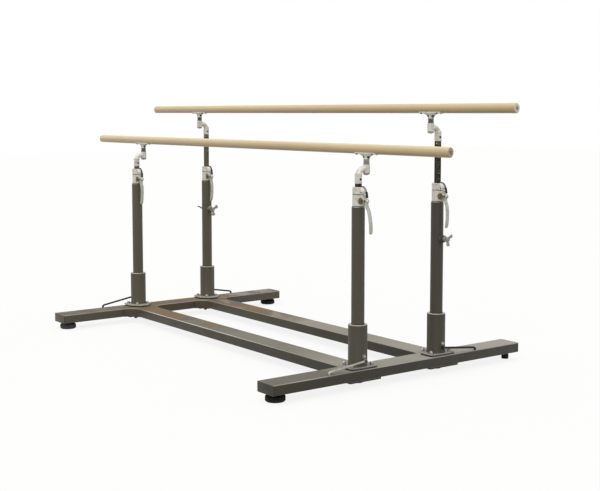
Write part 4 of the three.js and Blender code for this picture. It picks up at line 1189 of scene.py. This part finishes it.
class BARS_OT_poles(bpy.types.Operator):
    """Blackened poles with their detent notches"""
    bl_idname = "bars.poles"
    bl_label = "Poles"

    def mark(self, pole, name, middle, spread):
        """Marks a strip down a pole, centred on that angle, for its material: a painted highlight streak, and
        scoring.
        """
        turns = [math.degrees(math.atan2(vertex.co.y, vertex.co.x)) for vertex in pole.data.vertices]
        marks = [max(0.0, 1 - abs(turn - middle) / spread) for turn in turns]
        pole.data.attributes.new(name, "FLOAT", "POINT").data.foreach_set("value", marks)

    def pin(self, turn):
        """The flush end of the cross pin that holds a gooseneck on its pole."""
        face = turned([(0, 0.016), (0.0042, 0.016), (0.0042, 0.0175), (0.0036, 0.0179), (0, 0.0179)], 32)
        return blank("pin", [moved(face, Matrix.Rotation(math.radians(turn), 4, "Z") @ TO_X)])

    def execute(self, context):
        tree, keys = rack_tree()
        upright = settings().upright
        neck = 0.042
        sizes = {"Radius": upright.pole / 2, "Pitch": upright.pitch, "Notches": upright.notches,
                 "First drop": 0.03, "Notch width": 0.0105, "Notch height": 0.0125, "Notch depth": 0.0055,
                 "Flat depth": 0.002, "Finish": finish("pole")}
        pattern = self.pin(-66)
        for name, side, across, along in UPRIGHTS:
            node = f"pole_{name}"
            low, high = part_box(node)
            pole = grown(blank(f"rack_{name}", [([(0, 0, 0)], [])]), tree, keys,
                         {"Length": high[2] - low[2] - neck, **sizes})
            self.mark(pole, "highlight_streak", -62, 13)
            self.mark(pole, "scored", -12, 48)
            spot = on_column(across, along, high[2] - neck)
            pole.data.transform(spot)
            handed(pole, "pole", node, node)
            if side == "far":
                pin = copied(pattern, f"pole_pin_{name}", spot @ Matrix.Translation((0, 0, -0.011)))
                handed(pin, "bare steel", node)
        discard(pattern)
        return {"FINISHED"}


class BARS_OT_goosenecks(bpy.types.Operator):
    """Cast goosenecks and the swivel bolts in their bosses"""
    bl_idname = "bars.goosenecks"
    bl_label = "Goosenecks"

    def neck(self, inward, middle=0.0725, bend=0.034):
        """A sleeve on the pole, a quarter bend and a boss, inward of the pole."""
        reach = inward * BOSS_OUT
        start = middle - bend
        line = [(0, 0, start - 0.004), (0, 0, start)]
        for i in range(1, 13):
            angle = math.pi / 2 * i / 12
            line.append((0, inward * bend * (1 - math.cos(angle)), start + bend * math.sin(angle)))
        line.append((0, reach, middle))
        arm = swept(line, circle(0.0152, 40))
        sleeve, boss = rod(0.0185, 0, 0.053, 56, 0.0015), rod(0.018, 0.051, 0.094, 56, 0.0015)
        return cast(blank("neck", [sleeve, arm, shifted(boss, y=reach)]), 0.001, 2, [
            rod(0.0123, -0.01, 0.0423, 40), shifted(rod(0.0088, 0.03, 0.12, 40), y=reach),
            shifted(moved(rod(0.006, 0.0142, 0.03, 24), TO_X), z=NECK_SCREW_RISE)])

    def collar(self):
        """The swivel bolt's shank and its grooved collar."""
        return blank("collar", [turned([
            (0, 0.044), (0.008, 0.044), (0.008, 0.0948), (0.0152, 0.0948), (0.016, 0.0956), (0.016, 0.1012),
            (0.0152, 0.102), (0.0132, 0.1026), (0.0132, 0.1036), (0.0154, 0.1044), (0.0157, 0.1052),
            (0.0157, 0.1078), (0.0149, 0.1086), (0.0132, 0.1092), (0.0132, 0.1102), (0.0151, 0.111),
            (0.0154, 0.1118), (0.0154, 0.118), (0.0146, 0.1188), (0, 0.1188)], 56)])

    def nut(self):
        """The pointed nut under the boss."""
        return blank("nut", [turned([(0, 0.0392), (0.007, 0.0413), (0.0165, 0.0446), (0.017, 0.0455),
                                     (0.017, 0.0497), (0.0165, 0.0502), (0, 0.0502)], 6)])

    def set_screw(self):
        """The socketed set screw in the sleeve."""
        screw = turned([(0, 0.0143), (0.0058, 0.0143), (0.0058, 0.0188), (0.0052, 0.0194), (0.0022, 0.0194),
                        (0.0022, 0.017), (0, 0.017)], 24)
        return blank("screw", [shifted(moved(screw, TO_X), z=NECK_SCREW_RISE)])

    def execute(self, context):
        collar, nut, screw = self.collar(), self.nut(), self.set_screw()
        necks = {across: self.neck(-across) for _, across in SIDES}
        for name, side, across, along in UPRIGHTS:
            spot = on_column(across, along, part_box(f"gooseneck_{name}")[0][2])
            aside = spot @ Matrix.Translation((0, -across * BOSS_OUT, 0))
            pole, rail = f"pole_{name}", f"rail_{side}"
            look = "zinc" if name == "near_right" else "dark zinc"
            handed(copied(necks[across], f"cast_neck_{name}", spot), "casting", pole, f"gooseneck_{name}")
            handed(copied(screw, f"neck_screw_{name}", spot), "oxide", pole)
            handed(copied(collar, f"swivel_collar_{name}", aside), look, rail, f"swivel_bolt_{name}")
            handed(copied(nut, f"swivel_nut_{name}", aside), "zinc", rail)
        discard(collar, nut, screw, *necks.values())
        return {"FINISHED"}


class BARS_OT_saddles(bpy.types.Operator):
    """Cast saddles with open windows, and their small bolts"""
    bl_idname = "bars.saddles"
    bl_label = "Saddles"

    def saddle(self, rail):
        """A flange under the rail on a round hub, with a rib along the rail that is open beside the hub."""
        flange = prism(rounded_box(0.172, 0.032, 0.015, 8), 0.0282, 0.039)
        hub = turned([(0, 0.0032), (0.0155, 0.0032), (0.0161, 0.0042), (0.0161, 0.0075), (0.0105, 0.0105),
                      (0.0105, 0.02), (0.0145, 0.0285), (0.0145, 0.034), (0, 0.034)], 56)
        half = [(0.013, 0.004), (0.0165, 0.006), (0.023, 0.0115), (0.028, 0.018), (0.035, 0.0235),
                (0.048, 0.0275), (0.082, 0.0285), (0.082, 0.034)]
        rib = moved(prism(half + [(-x, z) for x, z in reversed(half)], -0.006, 0.006), TO_FRONT)
        corners = ((0.009, 0.0085), (0.04, 0.0085), (0.04, 0.0195), (0.009, 0.0195))
        windows = [moved(prism([(s * x, z) for x, z in corners], -0.02, 0.02), TO_FRONT) for s in (-1, 1)]
        body = worked(blank("saddle", [flange]), [rib], "UNION")
        worked(worked(body, windows, "DIFFERENCE"), [hub], "UNION")
        recesses = [shifted(rod(0.007, 0.01, 0.0328), x, y) for x, y in SADDLE_SCREWS]
        oval = [(x * (rail.width / 2 + SEAT), y * (rail.height / 2 + SEAT)) for x, y in circle(1, 72)]
        cradle = shifted(moved(prism(oval, -0.1, 0.1), TO_X), z=0.03 + rail.height / 2)
        return cast(body, 0.0009, 2, [cradle] + recesses)

    def shade_plate(self):
        """The dark plate that closes the rib's openings: painted shade in them."""
        half = [(0.0145, 0.0065), (0.0218, 0.0125), (0.0262, 0.0185), (0.0285, 0.0215)]
        plate = prism(half + [(-x, z) for x, z in reversed(half)], -0.0042, 0.0042)
        return blank("shade_plate", [moved(plate, TO_FRONT)])

    def screws(self):
        """The four small screws whose domes hang in the flange's recesses."""
        tree, keys = nut_tree()
        screws = grown(blank("screws", [([(x, y, 0) for x, y in SADDLE_SCREWS], [])]), tree, keys, {
            "Across corners": 0.0104, "Nut height": 0.0036, "Washer height": 0.0042, "Dome height": 0.0015,
            "Finish": finish("oxide")})
        screws.data.transform(Matrix.Translation((0, 0, 0.0306)) @ Matrix.Rotation(math.pi, 4, "X"))
        return screws

    def execute(self, context):
        saddle, shade_plate, screws = self.saddle(settings().rail), self.shade_plate(), self.screws()
        for name, side, across, along in UPRIGHTS:
            node, rail = f"saddle_{name}", f"rail_{side}"
            inward = Matrix.Translation((0, -across * BOSS_OUT, 0))
            spot = on_column(across, along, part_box(node)[0][2]) @ inward
            handed(copied(saddle, f"cast_saddle_{name}", spot), "casting", rail, node)
            handed(copied(shade_plate, f"saddle_web_{name}", spot), "oxide", rail)
            handed(copied(screws, f"saddle_screws_{name}", spot), "oxide", rail)
        discard(saddle, screws, shade_plate)
        return {"FINISHED"}


class BARS_OT_rails(bpy.types.Operator):
    """Oval wooden rails with rounded ends"""
    bl_idname = "bars.rails"
    bl_label = "Rails"

    def stations(self, rail, half, steps=8, count=24):
        """A rail's stations along X, close together at its rounded ends, with the swell at each."""
        angles = [math.pi / 2 * i / steps for i in range(steps + 1)]
        ends = [rail.end_round * (1 - math.cos(angle)) for angle in angles]
        swells = [1 - rail.end_round / (rail.width / 2) * (1 - math.sin(angle)) for angle in angles]
        straight = 2 * half - 2 * rail.end_round
        line = [-half + s for s in ends]
        line += [-half + rail.end_round + straight * i / count for i in range(1, count)]
        line += [half - s for s in reversed(ends)]
        mesh = bpy.data.meshes.new("stations")
        mesh.from_pydata([(x, 0, 0) for x in line], [(i, i + 1) for i in range(len(line) - 1)], [])
        swells = swells + [1.0] * (count - 1) + swells[::-1]
        mesh.attributes.new("swell", "FLOAT", "POINT").data.foreach_set("value", swells)
        return mesh

    def hearted(self, bar):
        """The bar with middles to its end faces, and its dark heart marked there."""
        sheet = bmesh.new()
        sheet.from_mesh(bar.data)
        bmesh.ops.poke(sheet, faces=[face for face in sheet.faces if len(face.verts) > 4])
        sheet.to_mesh(bar.data)
        sheet.free()
        hearts = [max(0.0, 1 - math.hypot(v.co.y / 0.012, v.co.z / 0.016)) for v in bar.data.vertices]
        bar.data.attributes.new("heart", "FLOAT", "POINT").data.foreach_set("value", hearts)

    def execute(self, context):
        tree, keys = rail_tree()
        rail = settings().rail
        for side, _ in SIDES:
            low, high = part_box(f"rail_{side}")
            bar = shown(f"wooden_rail_{side}", self.stations(rail, (high[0] - low[0]) / 2))
            grown(bar, tree, keys, {"Width": rail.width, "Height": rail.height, "Finish": finish("wood")})
            self.hearted(bar)
            bar.data.transform(Matrix.Translation([(a + b) / 2 for a, b in zip(low, high)]))
            handed(bar, "wood", f"rail_{side}", f"rail_{side}", angle=50)
        return {"FINISHED"}


class BARS_OT_stage(bpy.types.Operator):
    """Pale floor, white surroundings, soft light and the camera"""
    bl_idname = "bars.stage"
    bl_label = "Stage"

    def seen(self, tree):
        """Whether a ray shows the surroundings: one from the camera, or one that gloss or glass sends on."""
        path = add(tree, "ShaderNodeLightPath").outputs
        seen = add(tree, "ShaderNodeMath", {0: path["Is Camera Ray"], 1: path["Is Glossy Ray"]},
                   operation="MAXIMUM")
        return add(tree, "ShaderNodeMath", {0: seen, 1: path["Is Transmission Ray"]}, operation="MAXIMUM")

    def floor(self, wide=30.0, low=-0.0002):
        """A wide pale floor that keeps the object's shadow and shows as nearly white."""
        mesh = bpy.data.meshes.new("floor")
        corners = [(x * wide, y * wide, low) for x, y in ((-1, -1), (1, -1), (1, 1), (-1, 1))]
        mesh.from_pydata(corners, [], [(0, 1, 2, 3)])
        material = bpy.data.materials.new("pale_floor")
        tree = emptied(material)
        seen = self.seen(tree)
        tone = add(tree, "ShaderNodeMix", {0: seen, 6: linear("#b4b3b0"), 7: linear("#f3f2ee")},
                   data_type="RGBA")
        matt = add(tree, "ShaderNodeBsdfDiffuse", {"Color": tone})
        glow = add(tree, "ShaderNodeEmission", {"Color": (1, 1, 1, 1), "Strength": 1.0})
        share = add(tree, "ShaderNodeMath", {0: seen, 1: 0.85}, operation="MULTIPLY")
        both = add(tree, "ShaderNodeMixShader", {0: share, 1: matt, 2: glow})
        add(tree, "ShaderNodeOutputMaterial", {0: both})
        mesh.materials.append(material)
        shown("studio_floor", mesh)

    def surroundings(self):
        """A soft even light from all round, seen as white."""
        world = bpy.data.worlds.new("studio")
        tree = emptied(world)
        soft, white = [add(tree, "ShaderNodeBackground", {"Color": (1, 1, 1, 1), "Strength": strength})
                       for strength in (0.65, 1.0)]
        both = add(tree, "ShaderNodeMixShader", {0: self.seen(tree), 1: soft, 2: white})
        add(tree, "ShaderNodeOutputWorld", {0: both})
        bpy.context.scene.world = world

    def lamp(self, name, strength, angle, direction):
        """A far lamp of that strength, as wide as that angle, that shines in that direction."""
        light = bpy.data.lights.new(name, "SUN")
        light.energy, light.angle = strength, math.radians(angle)
        shown(name, light).rotation_euler = Vector(direction).to_track_quat("-Z", "Y").to_euler()

    def camera(self):
        """The camera at the place that was solved for it, turned by its yaw and pitch."""
        yaw, pitch = math.radians(53.223), math.radians(5.054)
        level = math.cos(pitch)
        forward = Vector((-math.sin(yaw) * level, math.cos(yaw) * level, -math.sin(pitch)))
        across = forward.cross(Vector((0, 0, 1))).normalized()
        turn = Matrix((across, across.cross(forward), -forward)).transposed().to_4x4()
        data = bpy.data.cameras.new("photo_view")
        data.lens, data.sensor_width = 67.716, 36.0
        data.shift_x, data.shift_y = -0.0076, -0.0551
        data.clip_end = 200.0
        camera = shown("photo_view", data)
        camera.matrix_world = Matrix.Translation((5.4869, -3.8464, 1.3770)) @ turn
        bpy.context.scene.camera = camera

    def execute(self, context):
        context.scene.view_settings.view_transform = "Standard"
        self.floor()
        self.surroundings()
        self.lamp("key", 0.5, 40, (-0.55, 0.65, -0.5))
        self.lamp("top", 1.0, 60, (0.1, 0.1, -1.0))
        self.camera()
        return {"FINISHED"}


OPERATORS = (
    BARS_OT_stage, BARS_OT_base_frame, BARS_OT_feet, BARS_OT_sockets, BARS_OT_lock_levers, BARS_OT_columns,
    BARS_OT_hand_screws, BARS_OT_clamp_heads, BARS_OT_clamp_levers, BARS_OT_poles, BARS_OT_goosenecks,
    BARS_OT_saddles, BARS_OT_rails,
)


class BarsSettings(bpy.types.PropertyGroup):
    base: PointerProperty(type=BarsBase, name="Base", description="Sizes of the base")
    upright: PointerProperty(type=BarsUpright, name="Uprights", description="Sizes of the uprights")
    rail: PointerProperty(type=BarsRail, name="Rails", description="Sizes of the rails")
    colours: PointerProperty(type=BarsColours, name="Colours", description="Colours of the finishes")


class BARS_PT_panel(bpy.types.Panel):
    bl_idname = "BARS_PT_panel"
    bl_label = "Parallel Bars"
    bl_space_type = "VIEW_3D"
    bl_region_type = "UI"
    bl_category = "Parallel Bars"

    def draw(self, context):
        for operator in OPERATORS:
            self.layout.operator(operator.bl_idname)
        for part in ("base", "upright", "rail", "colours"):
            group = getattr(context.scene.parallel_bars, part)
            box = self.layout.box()
            for name in group.__annotations__:
                box.prop(group, name)


CLASSES = (BarsBase, BarsUpright, BarsRail, BarsColours, BarsSettings) + OPERATORS + (BARS_PT_panel,)


def register():
    for kind in CLASSES:
        bpy.utils.register_class(kind)
    bpy.types.Scene.parallel_bars = PointerProperty(type=BarsSettings)


def unregister():
    del bpy.types.Scene.parallel_bars
    for kind in reversed(CLASSES):
        bpy.utils.unregister_class(kind)


def main():
    register()
    for operator in OPERATORS:
        group, name = operator.bl_idname.split(".")
        getattr(getattr(bpy.ops, group), name)()


if __name__ == "__main__":
    main()
